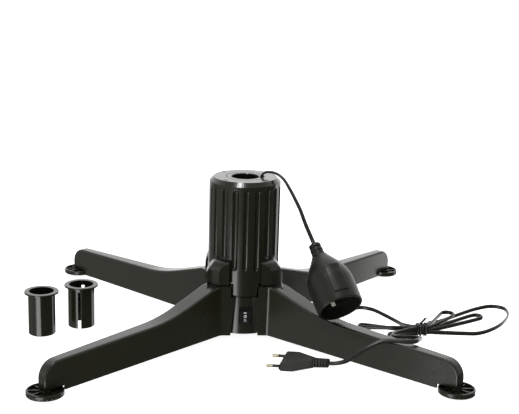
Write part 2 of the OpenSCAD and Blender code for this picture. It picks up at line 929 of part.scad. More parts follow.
module terminal_block() {
    color("ivory")
        translate([-14, -2, plate_z + plate_t + 2])
            difference() {
                cube([28, 14, 11]);
                for (i = [0 : 3]) {
                    translate([3.5 + i * 7, -1, 5])
                        rotate([-90, 0, 0])
                            cylinder(r = 1.6, h = 16);
                    translate([3.5 + i * 7, 4, 5])
                        cylinder(r = 1.4, h = 7);
                }
                for (i = [1 : 3])
                    translate([i * 7 - 0.5, -1, 9])
                        cube([1, 16, 3]);
            }
}

// Insulated wires inside the hub, each through its own points
module inner_wires() {
    z = plate_z + plate_t + 7;
    motor_end = deck_z - motor_h - 1.03;
    color([0.2, 0.35, 0.6])
        for (w = [
            [[32.8, 1, 12], [27, 1.5, 11], [18, 1, z + 1], [13, -6, z], [10.5, -6, z],
             [10.5, -2, z]],
            [[32.8, -1, 12], [27, -3, 12], [18, -9, z + 1], [6, -10, z], [3.5, -6, z],
             [3.5, -2, z]],
            [[-3.5, -2, z], [-3.5, -6, z], [-6, -12, 16], [-3, -17, 19.4],
             [switch_x, -22.4, 20]],
            [[-10.5, 12, z], [-10.5, 17, z], [-16, 24, 20], [-9, 26, 33],
             [-6, 22, motor_end - 4], [-6, 22, motor_end]],
            [[3.5, 12, z], [3.5, 17, z], [8, 24, 20], [8, 26, 33],
             [6, 22, motor_end - 4], [6, 22, motor_end]],
            [[-10.5, -2, z], [-12, -7, z], [-22, -12, 20], [-27, -14, 40], [-27, -14, 58],
             [-27, -14, deck_top + 8], [-28, -12.97, drum_z + 3]]])
            sweep(route(w, 5), round6(1.8), [0.3, 0.6, 0.4], [0.3, 0.6, 0.4]);
}

// ---------------------------------------------------------------- switch

// Places a shape drawn along +Z, so that it faces the front at the switch
module at_switch() {
    translate([switch_x, -panel_r - 0.3, switch_z])
        rotate([90, 0, 0])
            children();
}

rocker_w = 11.2;
rocker_r = 8.9;
rocker_tilt = 12;

module switch_body() {
    color(black)
        at_switch()
            difference() {
                union() {
                    translate([-bezel_w / 2, -bezel_h / 2, 0])
                        cube([bezel_w, bezel_h, 2]);
                    translate([-6.5, -9.6, -15])
                        cube([13, 19.2, 15.5]);
                }
                translate([-rocker_w / 2 - 0.2, -rocker_r - 0.3, -7])
                    cube([rocker_w + 0.4, 2 * rocker_r + 0.6, 12]);
                translate([-6.2, 0, 1])
                    rotate([0, 90, 0])
                        cylinder(r = 1 + fit, h = 12.4);
            }
}

module switch_rocker() {
    color(black)
        at_switch()
            translate([0, 0, 1])
                union() {
                    intersection() {
                        translate([-rocker_w / 2, 0, 0])
                            rotate([0, 90, 0])
                                cylinder(r = rocker_r, h = rocker_w);
                        rotate([90, 0, 90])
                            translate([0, 0, -rocker_w])
                                linear_extrude(2 * rocker_w)
                                    polygon([[-9, -2], [-4, -6], [4, -6], [9, -2],
                                        [9, 3.4], [0, 1.7], [-9, 3.4]]);
                    }
                    translate([-6.1, 0, 0])
                        rotate([0, 90, 0])
                            cylinder(r = 1, h = 12.2);
                }
}

module switch_terminals() {
    color(brass)
        at_switch()
            for (y = [-6, 0, 6])
                translate([-2.4, y - 0.4, -22])
                    cube([4.8, 0.8, 7]);
}

// ---------------------------------------------------------------- legs

leg_start = 44;
leg_bend = 30;            // length of the bend either side of the ramp's end

// Point of the soft bend where a leg's ramp runs into its level part
function knee_point(t) =
    let (b = [leg_knee_r, leg_knee_h],
         a = b + leg_bend * unit([shoulder_r + 6, block_h - 0.8] - b),
         c = b + leg_bend * unit([leg_reach, leg_tip_h] - b))
    lerp(lerp(a, b, t), lerp(b, c, t), t);

// Side outline of a leg's arm, from radius along +X; g insets it
function arm_side(g) =
    let (end = leg_reach - g,
         tip = leg_tip_h - g,
         big = 20)
    concat([[leg_start + g, leg_clear - (g > 0 ? 1 : 0)],
            [leg_start + g, block_h - 0.5 - g],
            [shoulder_r + 6 - g * 0.3, block_h - 0.8 - g]],
        [for (i = [0 : 6]) knee_point(i / 6) - [g * 0.3, g]],
        [for (i = [0 : 8])
            [end - big + big * sin(i * 11.25), tip - big + big * cos(i * 11.25)]],
        [[end, g > 0 ? leg_clear - 1 : foot_h + foot_gap],
         [g > 0 ? end : notch_r, g > 0 ? leg_clear - 1 : foot_h + foot_gap],
         [notch_r, leg_clear - (g > 0 ? 1 : 0)]]);

function arm_half(r, g) =
    lerp(leg_root_w / 2, leg_tip_w / 2, (r - 57) / (leg_reach - 58)) - g;

module arm_solid(g) {
    intersection() {
        rotate([90, 0, 0])
            translate([0, 0, -leg_root_w])
                linear_extrude(2 * leg_root_w)
                    polygon(arm_side(g));
        linear_extrude(block_h + 10)
            polygon([[leg_start, -arm_half(leg_start, g)], [leg_reach, -arm_half(leg_reach, g)],
                [leg_reach, arm_half(leg_reach, g)], [leg_start, arm_half(leg_start, g)]]);
    }
}

// Quarter block beside the hub, in the quadrant of +X and +Y; g insets it
module block_solid(g, top) {
    difference() {
        intersection() {
            rotate([90, 0, 0])
                translate([0, 0, -half_hub + g])
                    linear_extrude(half_hub)
                        block_side(g, top);
            rotate([90, 0, 90])
                linear_extrude(half_hub - g)
                    block_side(g, top);
        }
        translate([0, 0, -5])
            cylinder(r = core_r + slide + g, h = block_h + 10);
    }
}

module block_side(g, top) {
    low = leg_clear - (g > 0 ? 1 : 0);
    inner = tongue_w / 2 + 1.8;
    polygon([[panel_half(2) + g, low], [half_hub - g, low], [half_hub - g, top],
        [inner + g, top], [inner + g, panel_top], [panel_half(panel_top) + g, panel_top - g]]);
}

module leg() {
    pad_start = tongue_w / 2 + 1.8;
    difference() {
        union() {
            rotate([0, 0, 45])
                difference() {
                    arm_solid(0);
                    arm_solid(leg_wall);
                }
            difference() {
                block_solid(0, block_h - 0.5);
                block_solid(leg_wall, block_h - 0.5 - leg_wall);
                rotate([0, 0, 45])
                    arm_solid(leg_wall);
            }
            // round pad on top, under the shoulder
            intersection() {
                ring(housing_in + 1 + slide, shoulder_r + 0.4, block_h - 0.7, block_h);
                translate([pad_start, pad_start, block_h - 1])
                    cube([half_hub - pad_start, half_hub - pad_start, 1]);
            }
            rotate([0, 0, 45])
                intersection() {
                    arm_solid(0);
                    union() {
                        // cross ribs
                        for (r = [72 : 41 : notch_r])
                            translate([r, -leg_root_w, 3])
                                cube([2, 2 * leg_root_w, block_h]);
                        // solid end that holds the stud
                        translate([foot_r - 9, -leg_root_w, 0])
                            cube([20, 2 * leg_root_w, block_h]);
                    }
                }
            // pillar for the leg's screw
            rotate([0, 0, 45])
                translate([leg_screw_r, 0, leg_clear + 4])
                    cylinder(r = pillar_r + 1, h = block_h - 1 - leg_clear - 4);
        }
        rotate([0, 0, 45]) {
            translate([leg_screw_r, 0, -1])
                cylinder(d = leg_screw_d + 2 * fit, h = block_h + 2);
            translate([leg_screw_r, 0, -1])
                cylinder(d = 9.4, h = head_seat + 1);
            // slot that takes the hub's key
            translate([core_r - 2, -key_w / 2 - slide, -1])
                cube([8, key_w + 2 * slide, 60]);
            translate([core_r + 3.4 - slide, -key_head / 2 - slide, -1])
                cube([2.4 + 2 * slide, key_head + 2 * slide, 60]);
            translate([foot_r, 0, -1])
                cylinder(d = stud_d + 2 * fit, h = stud_top + 3);
        }
    }
}

// Leg that lies along the given angle
module leg_at(angle) {
    color(black)
        rotate([0, 0, angle - 45])
            leg();
}

module leg_screws() {
    color(steel)
        at_legs()
            translate([leg_screw_r, 0, head_seat - 4])
                screw_up(leg_screw_d, block_h - head_seat + 4 + 16, 8.6, 4);
}

module foot_stud(angle) {
    color(steel)
        rotate([0, 0, angle])
            translate([foot_r, 0, foot_h - 2.5])
                cylinder(d = stud_d, h = stud_top - foot_h + 2.5);
}

// Dished disc with ribs in its dish and a scalloped lower rim
module foot_disc(angle) {
    r = foot_d / 2;
    scallops = 26;
    color(black)
        rotate([0, 0, angle])
            translate([foot_r, 0, 0])
                difference() {
                    union() {
                        rotate_extrude()
                            polygon([[0, 0], [r - 0.6, 0], [r, 0.6], [r, foot_h - 1],
                                [r - 0.8, foot_h], [r - 2.4, foot_h], [r - 2.8, foot_h - 3.2],
                                [7, foot_h - 3.2], [6.4, foot_h], [0, foot_h]]);
                        for (i = [0 : 7])
                            rotate([0, 0, i * 45])
                                translate([6, -0.7, foot_h - 4])
                                    cube([r - 8, 1.4, 3]);
                    }
                    for (i = [0 : scallops - 1])
                        rotate([0, 0, i * 360 / scallops])
                            translate([r + 1.1, 0, -1])
                                cylinder(r = 1.8, h = 3.4, $fn = 16);
                    translate([0, 0, foot_h - 2.5])
                        cylinder(d = stud_d + 2 * fit, h = 5);
                }
}

// ---------------------------------------------------------------- sleeves

plain_at = [-257.5, -33.4];
split_at = [-210, -4.4];
crush_rise = 0.15;        // how far a crush rib stands into the bore

module sleeve() {
    difference() {
        rotate_extrude($fn = 72)
            polygon([[0, 0], [sleeve_d / 2 - 0.6, 0], [sleeve_d / 2, 0.8],
                [sleeve_d / 2, sleeve_h - 2.3], [flange_d / 2, sleeve_h - 2.3],
                [flange_d / 2, sleeve_h - 0.5], [flange_d / 2 - 0.5, sleeve_h], [0, sleeve_h]]);
        translate([0, 0, -1])
            cylinder(d = sleeve_bore, h = sleeve_h + 2, $fn = 72);
    }
}

module reducer_plain() {
    color(black)
        translate(plain_at) {
            sleeve();
            // crush ribs, one outside and one inside on the far wall
            intersection() {
                rotate([0, 0, 251])
                    translate([sleeve_d / 2 - 0.5, 0, 0])
                        cylinder(r = 0.9, h = sleeve_h - 5);
                difference() {
                    cylinder(r = sleeve_d / 2 + 1, h = sleeve_h);
                    translate([0, 0, -1])
                        cylinder(d = sleeve_bore + 0.4, h = sleeve_h + 2);
                }
            }
            intersection() {
                rotate([0, 0, 75])
                    translate([sleeve_bore / 2 + 0.9 - crush_rise, 0, 3])
                        cylinder(r = 0.9, h = sleeve_h - 3.6);
                cylinder(r = sleeve_d / 2 - 0.2, h = sleeve_h);
            }
        }
}

module reducer_split() {
    color(black)
        translate(split_at)
            difference() {
                sleeve();
                rotate([0, 0, -4])
                    translate([-slit_w / 2, -sleeve_d, -1])
                        cube([slit_w, 2 * sleeve_d, sleeve_h - 5.5]);
            }
}

// ---------------------------------------------------------------- coupler

module at_coupler() {
    translate(coupler_at)
        rotate(coupler_turn)
            rotate([0, 90, 0])
                children();
}

grip_x = 49.5;            // where the grip pads start and end
grip_end = 83;

// Radius of the coupler's body at distance x from its boot's start
function coupler_side(x) =
    let (u = (collar_x - x) / (collar_x - neck_x))
    neck_r + (coupler_d / 2 - neck_r) * pow(1 - u * u, 1.25);

module coupler_shell() {
    r = coupler_d / 2;
    color(black)
        at_coupler()
            difference() {
                union() {
                    rotate_extrude()
                        polygon(concat(
                            [[0, 0], [6.6, 0], [7.6, 0.8], [7.6, 4.4], [6.2, 5], [6.2, 6.6],
                             [8, 7.2], [8, 10.4], [6.9, 11], [6.9, 12.4], [8.2, 13],
                             [8.2, 16.2], [7.5, neck_x]],
                            [for (i = [0 : 14]) [coupler_side(lerp(neck_x, collar_x, i / 14)),
                                lerp(neck_x, collar_x, i / 14)]],
                            [[r, collar_x + 4], [r - 0.6, coupler_l - 1],
                             [r - 1.2, coupler_l], [0, coupler_l]]));
                    // grip pads on two opposite sides
                    for (a = [0, 180])
                        rotate([0, 0, a - 19])
                            rotate_extrude(angle = 38)
                                polygon(concat(
                                    [for (i = [0 : 6])
                                        let (x = lerp(grip_x, grip_end, i / 6))
                                        [coupler_side(min(x, collar_x)) + 0.8, x]],
                                    [[r - 3, grip_end], [coupler_side(grip_x) - 1.5, grip_x]]));
                }
                translate([0, 0, bowl_x])
                    cylinder(d = mouth_d, h = coupler_l);
                translate([0, 0, 25])
                    cylinder(r1 = 7, r2 = 20, h = bowl_x - 25 + e);
                translate([-cord_t / 2 - fit, -cord_w / 2 - fit, -1])
                    cube([cord_t + 2 * fit, cord_w + 2 * fit, 27]);
            }
}

module coupler_insert() {
    color(black)
        at_coupler()
            difference() {
                union() {
                    translate([0, 0, bowl_x + 0.2])
                        cylinder(r = insert_r, h = insert_x - bowl_x - 0.2);
                    translate([0, 0, bowl_x - 6])
                        cylinder(r = 14, h = 7);
                }
                translate([0, 0, insert_x - 17])
                    cylinder(r = 19.9, h = 18);
                for (s = [-1, 1])
                    translate([0, s * pin_pitch / 2, bowl_x + 1.5])
                        cylinder(r = pin_hole_r, h = 30);
                for (s = [-1, 1])
                    translate([s * 18.9 - 1.5, -2.7, 52])
                        cube([3, 5.4, 30]);
            }
}

module coupler_contacts() {
    color(brass)
        at_coupler() {
            for (s = [-1, 1]) {
                translate([0, s * pin_pitch / 2, bowl_x + 1.5])
                    difference() {
                        cylinder(r = pin_hole_r - fit, h = 11);
                        translate([0, 0, 1])
                            cylinder(r = pin_hole_r - 0.5, h = 12);
                    }
                // earth clips, bowed inwards
                rotate([0, 0, 90 - s * 90])
                    translate([0, 2.5, 0])
                        rotate([90, 0, 0])
                            linear_extrude(5)
                                polygon([[19.6, 52], [20.3, 52], [20.3, 68], [18.3, 73],
                                    [20.2, 78.5], [19.6, 78.9], [17.6, 73], [19.6, 67.8]]);
            }
        }
}

// ---------------------------------------------------------------- plug

module at_plug() {
    translate(plug_at)
        rotate(plug_turn)
            children();
}

// Both pins' roots inside the plug, each along +Z
module at_plug_pins() {
    at_plug()
        for (s = [-1, 1])
            translate([-pin_root, s * plug_pin_pitch / 2, 0])
                rotate([0, 90, 0])
                    children();
}

// Flat body that narrows to its ribbed boot, pins along +X
module plug_body() {
    boot_z = plug_l + plug_boot_l;
    color(black)
        difference() {
            at_plug()
                union() {
                    hull() {
                        plug_slice(plug_w - 4, plug_t - 6, 0);
                        plug_slice(plug_w, plug_t, 3.5);
                        plug_slice(plug_w, plug_t, 14);
                        plug_slice(16.5, plug_t - 1.2, plug_l - 2);
                    }
                    plug_slice(14.5, plug_t - 1.5, plug_l);
                    rotate([0, -90, 0])
                        translate([0, 0, plug_l])
                            cylinder(r1 = 4.6, r2 = 3.6, h = plug_boot_l);
                    for (i = [0 : 4])
                        plug_slice(14.4 - i * 0.3, 11.4 - i * 0.3, plug_l + 3 + i * 3.7);
                }
            at_plug()
                translate([-boot_z - 1, -cord_w / 2 - fit, -cord_t / 2 - fit])
                    cube([14, cord_w + 2 * fit, cord_t + 2 * fit]);
            at_plug_pins()
                translate([0, 0, -fit])
                    cylinder(r = pin_sleeve_r + fit, h = 20);
        }
}

// Slice with bevelled sides, 2 mm thick, at distance x behind the pin side
module plug_slice(w, t, x) {
    bevel = t * 0.42;
    half = [[t / 2, w / 2 - bevel], [t / 2 - bevel, w / 2]];
    translate([-x, 0, 0])
        rotate([0, -90, 0])
            linear_extrude(2)
                polygon([half[0], half[1], [-half[1][0], half[1][1]], [-half[0][0], half[0][1]],
                    -half[0], -half[1], [half[1][0], -half[1][1]], [half[0][0], -half[0][1]]]);
}

// Pins with a thinner stem inside their insulating sleeves
module plug_pins() {
    color(brass)
        at_plug_pins() {
            cylinder(r = pin_stem_r, h = pin_root + pin_sleeve_l + 1);
            translate([0, 0, pin_root + pin_sleeve_l + fit])
                cylinder(r = pin_r, h = plug_pin_l - pin_sleeve_l - pin_tip - fit);
            translate([0, 0, pin_root + plug_pin_l - pin_tip])
                cylinder(r1 = pin_r, r2 = 1.3, h = pin_tip);
        }
}

module pin_sleeves() {
    color(black)
        at_plug_pins()
            ring(pin_stem_r + fit, pin_sleeve_r, 0, pin_root + pin_sleeve_l);
}

// ---------------------------------------------------------------- cords

module cord_gland() {
    color(black)
        translate([0, 0, 12])
            difference() {
                union() {
                    rotate([0, 90, 0])
                        rotate_extrude()
                            polygon([[0, core_in - 3], [6, core_in - 3], [6, core_in - 1],
                                [4.5, core_in - 1], [4.5, panel_r + 0.4], [6.6, panel_r + 0.4],
                                [6.6, panel_r + 2], [5.6, panel_r + 2.4], [4.2, panel_r + 20],
                                [0, panel_r + 20]]);
                }
                translate([core_in - 4, -cord_t / 2 - fit, -cord_w / 2 - fit])
                    cube([40, cord_t + 2 * fit, cord_w + 2 * fit]);
            }
}

exit_point = [exit_r * cos(exit_angle), exit_r * sin(exit_angle), stand_h + collar_h];
coupler_dir = turned3([1, 0, 0], coupler_turn);
lead_points = [exit_point + [0, 0, -4], exit_point, [22.6, -2.4, 204], [26.2, -5.2, 206.7],
    [30.9, -9.5, 207.8], [38.4, -16.3, 207.3], [46.7, -24, 202.1], [55.1, -32.2, 189.9],
    [62, -39, 177.3], [67.6, -44.4, 166.1], [73.2, -49.3, 151.6], [77.9, -52.6, 140.9],
    coupler_at - 9 * coupler_dir, coupler_at, coupler_at + 6 * coupler_dir];

module socket_lead() {
    color(black)
        sweep(route(lead_points, 9), flat8(cord_t, cord_w),
            [-sin(exit_angle), cos(exit_angle), 0], turned3([0, 1, 0], coupler_turn));
}

gland_end = panel_r + 20;
// Mains cord from its gland to the tie, lying on the floor behind the coupler
mains_points = [[gland_end - 6, 0, 12], [gland_end, 0, 12], [76, 2, 10.6], [92, 7, 7],
    [112, 19, 4], [136, 37, 3], [156, 52, lying_z], [170, 57, lying_z],
    [184, 48.5, lying_z], [196, 27, lying_z], [207, 3, lying_z], [211.5, -16, 5],
    [212.8, -28, 8], [215, -37, 10.2], [218.3, -41.2, high_pass],
    pass_point(-tie_half, 1, 1)];

// Point on a pass, at distance along from the tie's middle, column -1 to 1, row 0 or 1
function pass_point(along, column, row) =
    let (u = [cos(tie_angle), sin(tie_angle)], v = [-u[1], u[0]],
         p = tie_at + along * u + column * pass_w * v)
    [p[0], p[1], row == 0 ? low_pass : high_pass];

// A whole pass through the tie, towards the right (1) or the left (-1)
function pass(dir, column, row) =
    [for (k = [-1, -0.5, 0.5, 1]) pass_point(dir * k * tie_half, column, row)];

// Arc of an ellipse in plan, from angle a0 to a1, at height z
function bow(centre, long, wide, turn, a0, a1, steps, z0, z1) =
    [for (i = [0 : steps])
        let (a = lerp(a0, a1, i / steps), p = turned([long * cos(a), wide * sin(a)], turn))
        [centre[0] + p[0], centre[1] + p[1], lerp(z0, z1, i / steps)]];

hank_points = concat(
    pass(1, 1, 1),
    [[248, -21, 9], [259, -8, 4.5]],
    bow([326.4, 7.3], 66.5, 28.3, 53.5, 52, -179, 7, lying_z, lying_z),
    pass(-1, -1, 0),
    bow([193.6, -52.9], 6.5, 6.5, 11, 270, 90, 4, lying_z, lying_z),
    pass(1, 0, 0),
    bow([322.2, 18.7], 7.5, 7.5, 33, -100, 100, 5, lying_z, lying_z),
    pass(-1, 1, 0),
    bow([159.1, -18], 5, 5, 5, 90, 270, 4, lying_z, lying_z),
    pass(1, 0, 1),
    bow([277.5, 3.5], 8.5, 8.5, 52, 110, -90, 5, 12, 12),
    pass(-1, -1, 1));

module mains_lead() {
    color(black)
        sweep(route(mains_points, 12), flat8(cord_t, cord_w));
}

hank_path = route(hank_points, 9);
hank_rings = rings(hank_path, flat6(cord_t, cord_w), [0, 0, 1], [0, 0, 1]);
// Least distance between corners of rings that lie far apart along the cord
function least_gap(r, apart) =
    min([for (i = [0 : len(r) - apart - 1], j = [i + apart : len(r) - 1])
        min([for (a = r[i], b = r[j]) norm(a - b)])]);

module mains_hank() {
    echo(least_gap = least_gap(hank_rings, 4));
    color(black)
        sweep(hank_path, flat6(cord_t, cord_w));
}

plug_dir = turned3([1, 0, 0], plug_turn);
plug_end = plug_at - (plug_l + plug_boot_l) * plug_dir;
// From the tie in a loop towards the front, over a leg and down to the plug
tail_points = [pass_point(-tie_half, -1, 1), pass_point(-tie_half - 5, -1, 1),
    [207, -58, 11], [193, -70, 12], [185, -83, 14], [188, -98, 17], [200, -106, 20],
    [210, -116, 23], [211, -130, 27], [206, -148, 33], [201, -164, 38.5], [197, -176, 42],
    [190, -183.5, 43.3], [181, -183.5, 43.3], [166, -179.5, 43], [154, -177.5, 41.6],
    [143, -178.5, 37.5], [131, -182.5, 32.4], [118, -192, 28], [106, -200.5, 25.2],
    plug_end - 7 * plug_dir, plug_end, plug_end + 6 * plug_dir];

module plug_tail() {
    color(black)
        sweep(route(tail_points, 9), flat8(cord_t, cord_w),
            [0, 0, 1], turned3([0, -1, 0], plug_turn));
}

// Coated wire wound three times round the passes, its ends twisted on top
module cord_tie() {
    half_w = 1.5 * pass_w + tie_d / 2 + 0.1;
    half_h = pass_h + tie_d / 2 + 0.05;
    mid_z = (low_pass + high_pass) / 2;
    turns = 3;
    steps = 16;
    color(black)
        translate([tie_at[0], tie_at[1], mid_z])
            rotate([0, 0, tie_angle])
                sweep([for (i = [0 : turns * steps])
                    let (a = 360 * i / steps + 90,
                         k = 1 / pow(pow(abs(cos(a)), 6) + pow(abs(sin(a)), 6), 1 / 6))
                    [lerp(-4, 4, i / turns / steps), half_w * k * cos(a), half_h * k * sin(a)]],
                    round6(tie_d), [1, 0, 0], [1, 0, 0]);
}

// ---------------------------------------------------------------- assembly

column_housing();
top_cover();
cover_screws();
top_bearing();
motor_deck();
deck_screws();
gear_motor();
motor_screws();
brush_block();
brushes();
lower_race();
base_hub();
base_plate();
base_screws();
terminal_block();
inner_wires();
switch_body();
switch_terminals();
switch_rocker();
leg_at(leg_angles[0]);  // leg_front_left
leg_at(leg_angles[1]);  // leg_front_right
leg_at(leg_angles[2]);  // leg_back_left
leg_at(leg_angles[3]);  // leg_back_right
leg_screws();
cord_gland();
mains_lead();
mains_hank();
plug_tail();
cord_tie();
plug_body();
plug_pins();
pin_sleeves();
socket_rotor();
drive_gear();
upper_race();
slip_rings();
lead_grommet();
socket_lead();
coupler_shell();
coupler_insert();
coupler_contacts();
bearing_cage();
bearing_balls();
motor_shaft();
pinion();
reducer_plain();
reducer_split();
foot_stud(leg_angles[0]);  // foot_stud_front_left
foot_stud(leg_angles[1]);  // foot_stud_front_right
foot_stud(leg_angles[2]);  // foot_stud_back_left
foot_stud(leg_angles[3]);  // foot_stud_back_right
foot_disc(leg_angles[0]);  // foot_disc_front_left
foot_disc(leg_angles[1]);  // foot_disc_front_right
foot_disc(leg_angles[2]);  // foot_disc_back_left
foot_disc(leg_angles[3]);  // foot_disc_back_right
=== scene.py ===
"""Looks of the rotating christmas tree stand: camera, cords, small parts, finishes and studio."""
import json
import math

import bmesh
import bpy
from mathutils import Matrix, Vector


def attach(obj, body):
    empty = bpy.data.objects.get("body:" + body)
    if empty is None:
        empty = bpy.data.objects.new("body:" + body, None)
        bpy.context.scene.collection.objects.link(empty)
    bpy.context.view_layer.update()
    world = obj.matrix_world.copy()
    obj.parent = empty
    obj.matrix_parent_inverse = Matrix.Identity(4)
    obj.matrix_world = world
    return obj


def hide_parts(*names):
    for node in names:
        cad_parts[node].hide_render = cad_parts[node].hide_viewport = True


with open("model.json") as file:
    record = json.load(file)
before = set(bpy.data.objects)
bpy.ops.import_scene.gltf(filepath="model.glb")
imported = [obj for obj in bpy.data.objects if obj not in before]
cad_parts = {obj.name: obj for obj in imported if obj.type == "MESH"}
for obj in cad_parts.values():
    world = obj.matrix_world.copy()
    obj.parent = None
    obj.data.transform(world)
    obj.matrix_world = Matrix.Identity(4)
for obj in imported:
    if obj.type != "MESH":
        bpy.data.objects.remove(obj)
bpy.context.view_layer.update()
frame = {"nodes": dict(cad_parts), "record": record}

NODES = frame["nodes"]
MM = 0.001
UP = Vector((0, 0, 1))

# ---------------------------------------------------------------- camera

# Where the photograph was taken from, in metres, and how the camera was held, in degrees
CAMERA_PLACE = Vector((-0.0951, -1.3946, 0.4992))
CAMERA_HEADING = -4.695
CAMERA_DIP = 13.654
CAMERA_ROLL = 1.626
LENS_MM = 77.16


def photographers_camera():
    """Camera that stands and looks as the photographer's did."""
    data = bpy.data.cameras.new("photographers_camera")
    data.lens = LENS_MM
    data.sensor_fit = "HORIZONTAL"
    data.sensor_width = 36
    data.clip_end = 50
    camera = bpy.data.objects.new("photographers_camera", data)
    bpy.context.scene.collection.objects.link(camera)
    turn = (Matrix.Rotation(math.radians(CAMERA_HEADING), 4, "Z")
            @ Matrix.Rotation(math.radians(90 - CAMERA_DIP), 4, "X")
            @ Matrix.Rotation(math.radians(CAMERA_ROLL), 4, "Z"))
    camera.matrix_world = Matrix.Translation(CAMERA_PLACE) @ turn
    bpy.context.scene.camera = camera


photographers_camera()

# ---------------------------------------------------------------- routes of the cords
# The points below are those of the solids, in millimetres; routes come out in metres.

CORD_WIDE = 5.4
CORD_THICK = 3.3
TIE_WIRE = 1.8
TIE_AT = (231, -44)
TIE_ANGLE = 12
TIE_HALF = 8                    # from the tie's middle to where the passes part
PASS_APART = CORD_THICK + 0.7
PASS_RISE = CORD_WIDE + 0.6
LYING = CORD_WIDE / 2 + 0.35    # height of a stretch that lies on its edge
LOW_PASS = TIE_WIRE + 0.3 + CORD_WIDE / 2
HIGH_PASS = LOW_PASS + PASS_RISE

COUPLER_AT = Vector((84.5, -62.6, 126.2))
COUPLER_TURN = (12, 40.8, -68)
PLUG_AT = Vector((39.5, -162.2, 11))
PLUG_TURN = (-24.3, 10.2, 145)
PLUG_LONG = 61

EXIT_ANGLE = math.radians(-5)
EXIT_RADIUS = 21.4
EXIT = Vector((EXIT_RADIUS * math.cos(EXIT_ANGLE), EXIT_RADIUS * math.sin(EXIT_ANGLE), 201.2))
GLAND_END = 65.3


def turned(vector, degrees):
    """Vector turned about X, then Y, then Z."""
    x, y, z = (Matrix.Rotation(math.radians(a), 3, axis) for a, axis in zip(degrees, "XYZ"))
    return z @ y @ x @ Vector(vector)


def blend(a, b, t):
    return a + (b - a) * t


def curve_point(a, b, c, d, t):
    """Point at t between b and c on a smooth curve through a, b, c and d."""
    k1 = math.sqrt((b - a).length)
    k2 = k1 + math.sqrt((c - b).length)
    k3 = k2 + math.sqrt((d - c).length)
    k = blend(k1, k2, t)
    a1 = ((k1 - k) * a + k * b) / k1
    a2 = ((k2 - k) * b + (k - k1) * c) / (k2 - k1)
    a3 = ((k3 - k) * c + (k - k2) * d) / (k3 - k2)
    b1 = ((k2 - k) * a1 + k * a2) / k2
    b2 = ((k3 - k) * a2 + (k - k1) * a3) / (k3 - k1)
    return ((k2 - k) * b1 + (k - k1) * b2) / (k2 - k1)


def route(points, step):
    """Smooth route through points in millimetres, with a point about every step, in metres."""
    p = [Vector(q) * MM for q in points]
    p = [2 * p[0] - p[1]] + p + [2 * p[-1] - p[-2]]
    out = []
    for i in range(1, len(p) - 2):
        parts = max(1, math.ceil((p[i + 1] - p[i]).length / MM / step))
        out += [curve_point(*p[i - 1:i + 3], k / parts) for k in range(parts)]
    return out + [p[-2]]


def pass_point(along, column, row):
    """Point inside the tie, at a distance along it, in column -1 to 1 and row 0 or 1."""
    u = Vector((math.cos(math.radians(TIE_ANGLE)), math.sin(math.radians(TIE_ANGLE))))
    p = Vector(TIE_AT) + along * u + column * PASS_APART * Vector((-u.y, u.x))
    return p.x, p.y, HIGH_PASS if row else LOW_PASS


def through_tie(direction, column, row):
    """One pass through the tie, rightwards for direction 1 and leftwards for -1."""
    return [pass_point(direction * k * TIE_HALF, column, row) for k in (-1, -0.5, 0.5, 1)]


def bow(centre, long, wide, turn, start, end, steps, z):
    """Arc of an ellipse in plan, from angle start to end."""
    points = []
    for i in range(steps + 1):
        a, t = math.radians(blend(start, end, i / steps)), math.radians(turn)
        x, y = long * math.cos(a), wide * math.sin(a)
        points.append((centre[0] + x * math.cos(t) - y * math.sin(t),
                       centre[1] + x * math.sin(t) + y * math.cos(t), z))
    return points


COUPLER_AHEAD = turned((1, 0, 0), COUPLER_TURN)
PLUG_AHEAD = turned((1, 0, 0), PLUG_TURN)
PLUG_END = PLUG_AT - PLUG_LONG * PLUG_AHEAD

LEAD_POINTS = [
    EXIT - 4 * UP, EXIT, (22.6, -2.4, 204), (26.2, -5.2, 206.7), (30.9, -9.5, 207.8),
    (38.4, -16.3, 207.3), (46.7, -24, 202.1), (55.1, -32.2, 189.9), (62, -39, 177.3),
    (67.6, -44.4, 166.1), (73.2, -49.3, 151.6), (77.9, -52.6, 140.9),
    COUPLER_AT - 9 * COUPLER_AHEAD, COUPLER_AT, COUPLER_AT + 6 * COUPLER_AHEAD]

MAINS_POINTS = [
    (GLAND_END - 6, 0, 12), (GLAND_END, 0, 12), (76, 2, 10.6), (92, 7, 7), (112, 19, 4),
    (136, 37, 3), (156, 52, LYING), (170, 57, LYING), (184, 48.5, LYING), (196, 27, LYING),
    (207, 3, LYING), (211.5, -16, 5), (212.8, -28, 8), (215, -37, 10.2),
    (218.3, -41.2, HIGH_PASS), pass_point(-TIE_HALF, 1, 1)]

HANK_POINTS = (
    through_tie(1, 1, 1)
    + [(248, -21, 9), (259, -8, 4.5)]
    + bow((326.4, 7.3), 66.5, 28.3, 53.5, 52, -179, 7, LYING)
    + through_tie(-1, -1, 0)
    + bow((193.6, -52.9), 6.5, 6.5, 11, 270, 90, 4, LYING)
    + through_tie(1, 0, 0)
    + bow((322.2, 18.7), 7.5, 7.5, 33, -100, 100, 5, LYING)
    + through_tie(-1, 1, 0)
    + bow((159.1, -18), 5, 5, 5, 90, 270, 4, LYING)
    + through_tie(1, 0, 1)
    + bow((277.5, 3.5), 8.5, 8.5, 52, 110, -90, 5, 12)
    + through_tie(-1, -1, 1))

TAIL_POINTS = [
    pass_point(-TIE_HALF, -1, 1), pass_point(-TIE_HALF - 5, -1, 1), (207, -58, 11),
    (193, -70, 12), (185, -83, 14), (188, -98, 17), (200, -106, 20), (210, -116, 23),
    (211, -130, 27), (206, -148, 33), (201, -164, 38.5), (197, -176, 42),
    (190, -183.5, 43.3), (181, -183.5, 43.3), (166, -179.5, 43), (154, -177.5, 41.6),
    (143, -178.5, 37.5), (131, -182.5, 32.4), (118, -192, 28), (106, -200.5, 25.2),
    PLUG_END - 7 * PLUG_AHEAD, PLUG_END, PLUG_END + 6 * PLUG_AHEAD]


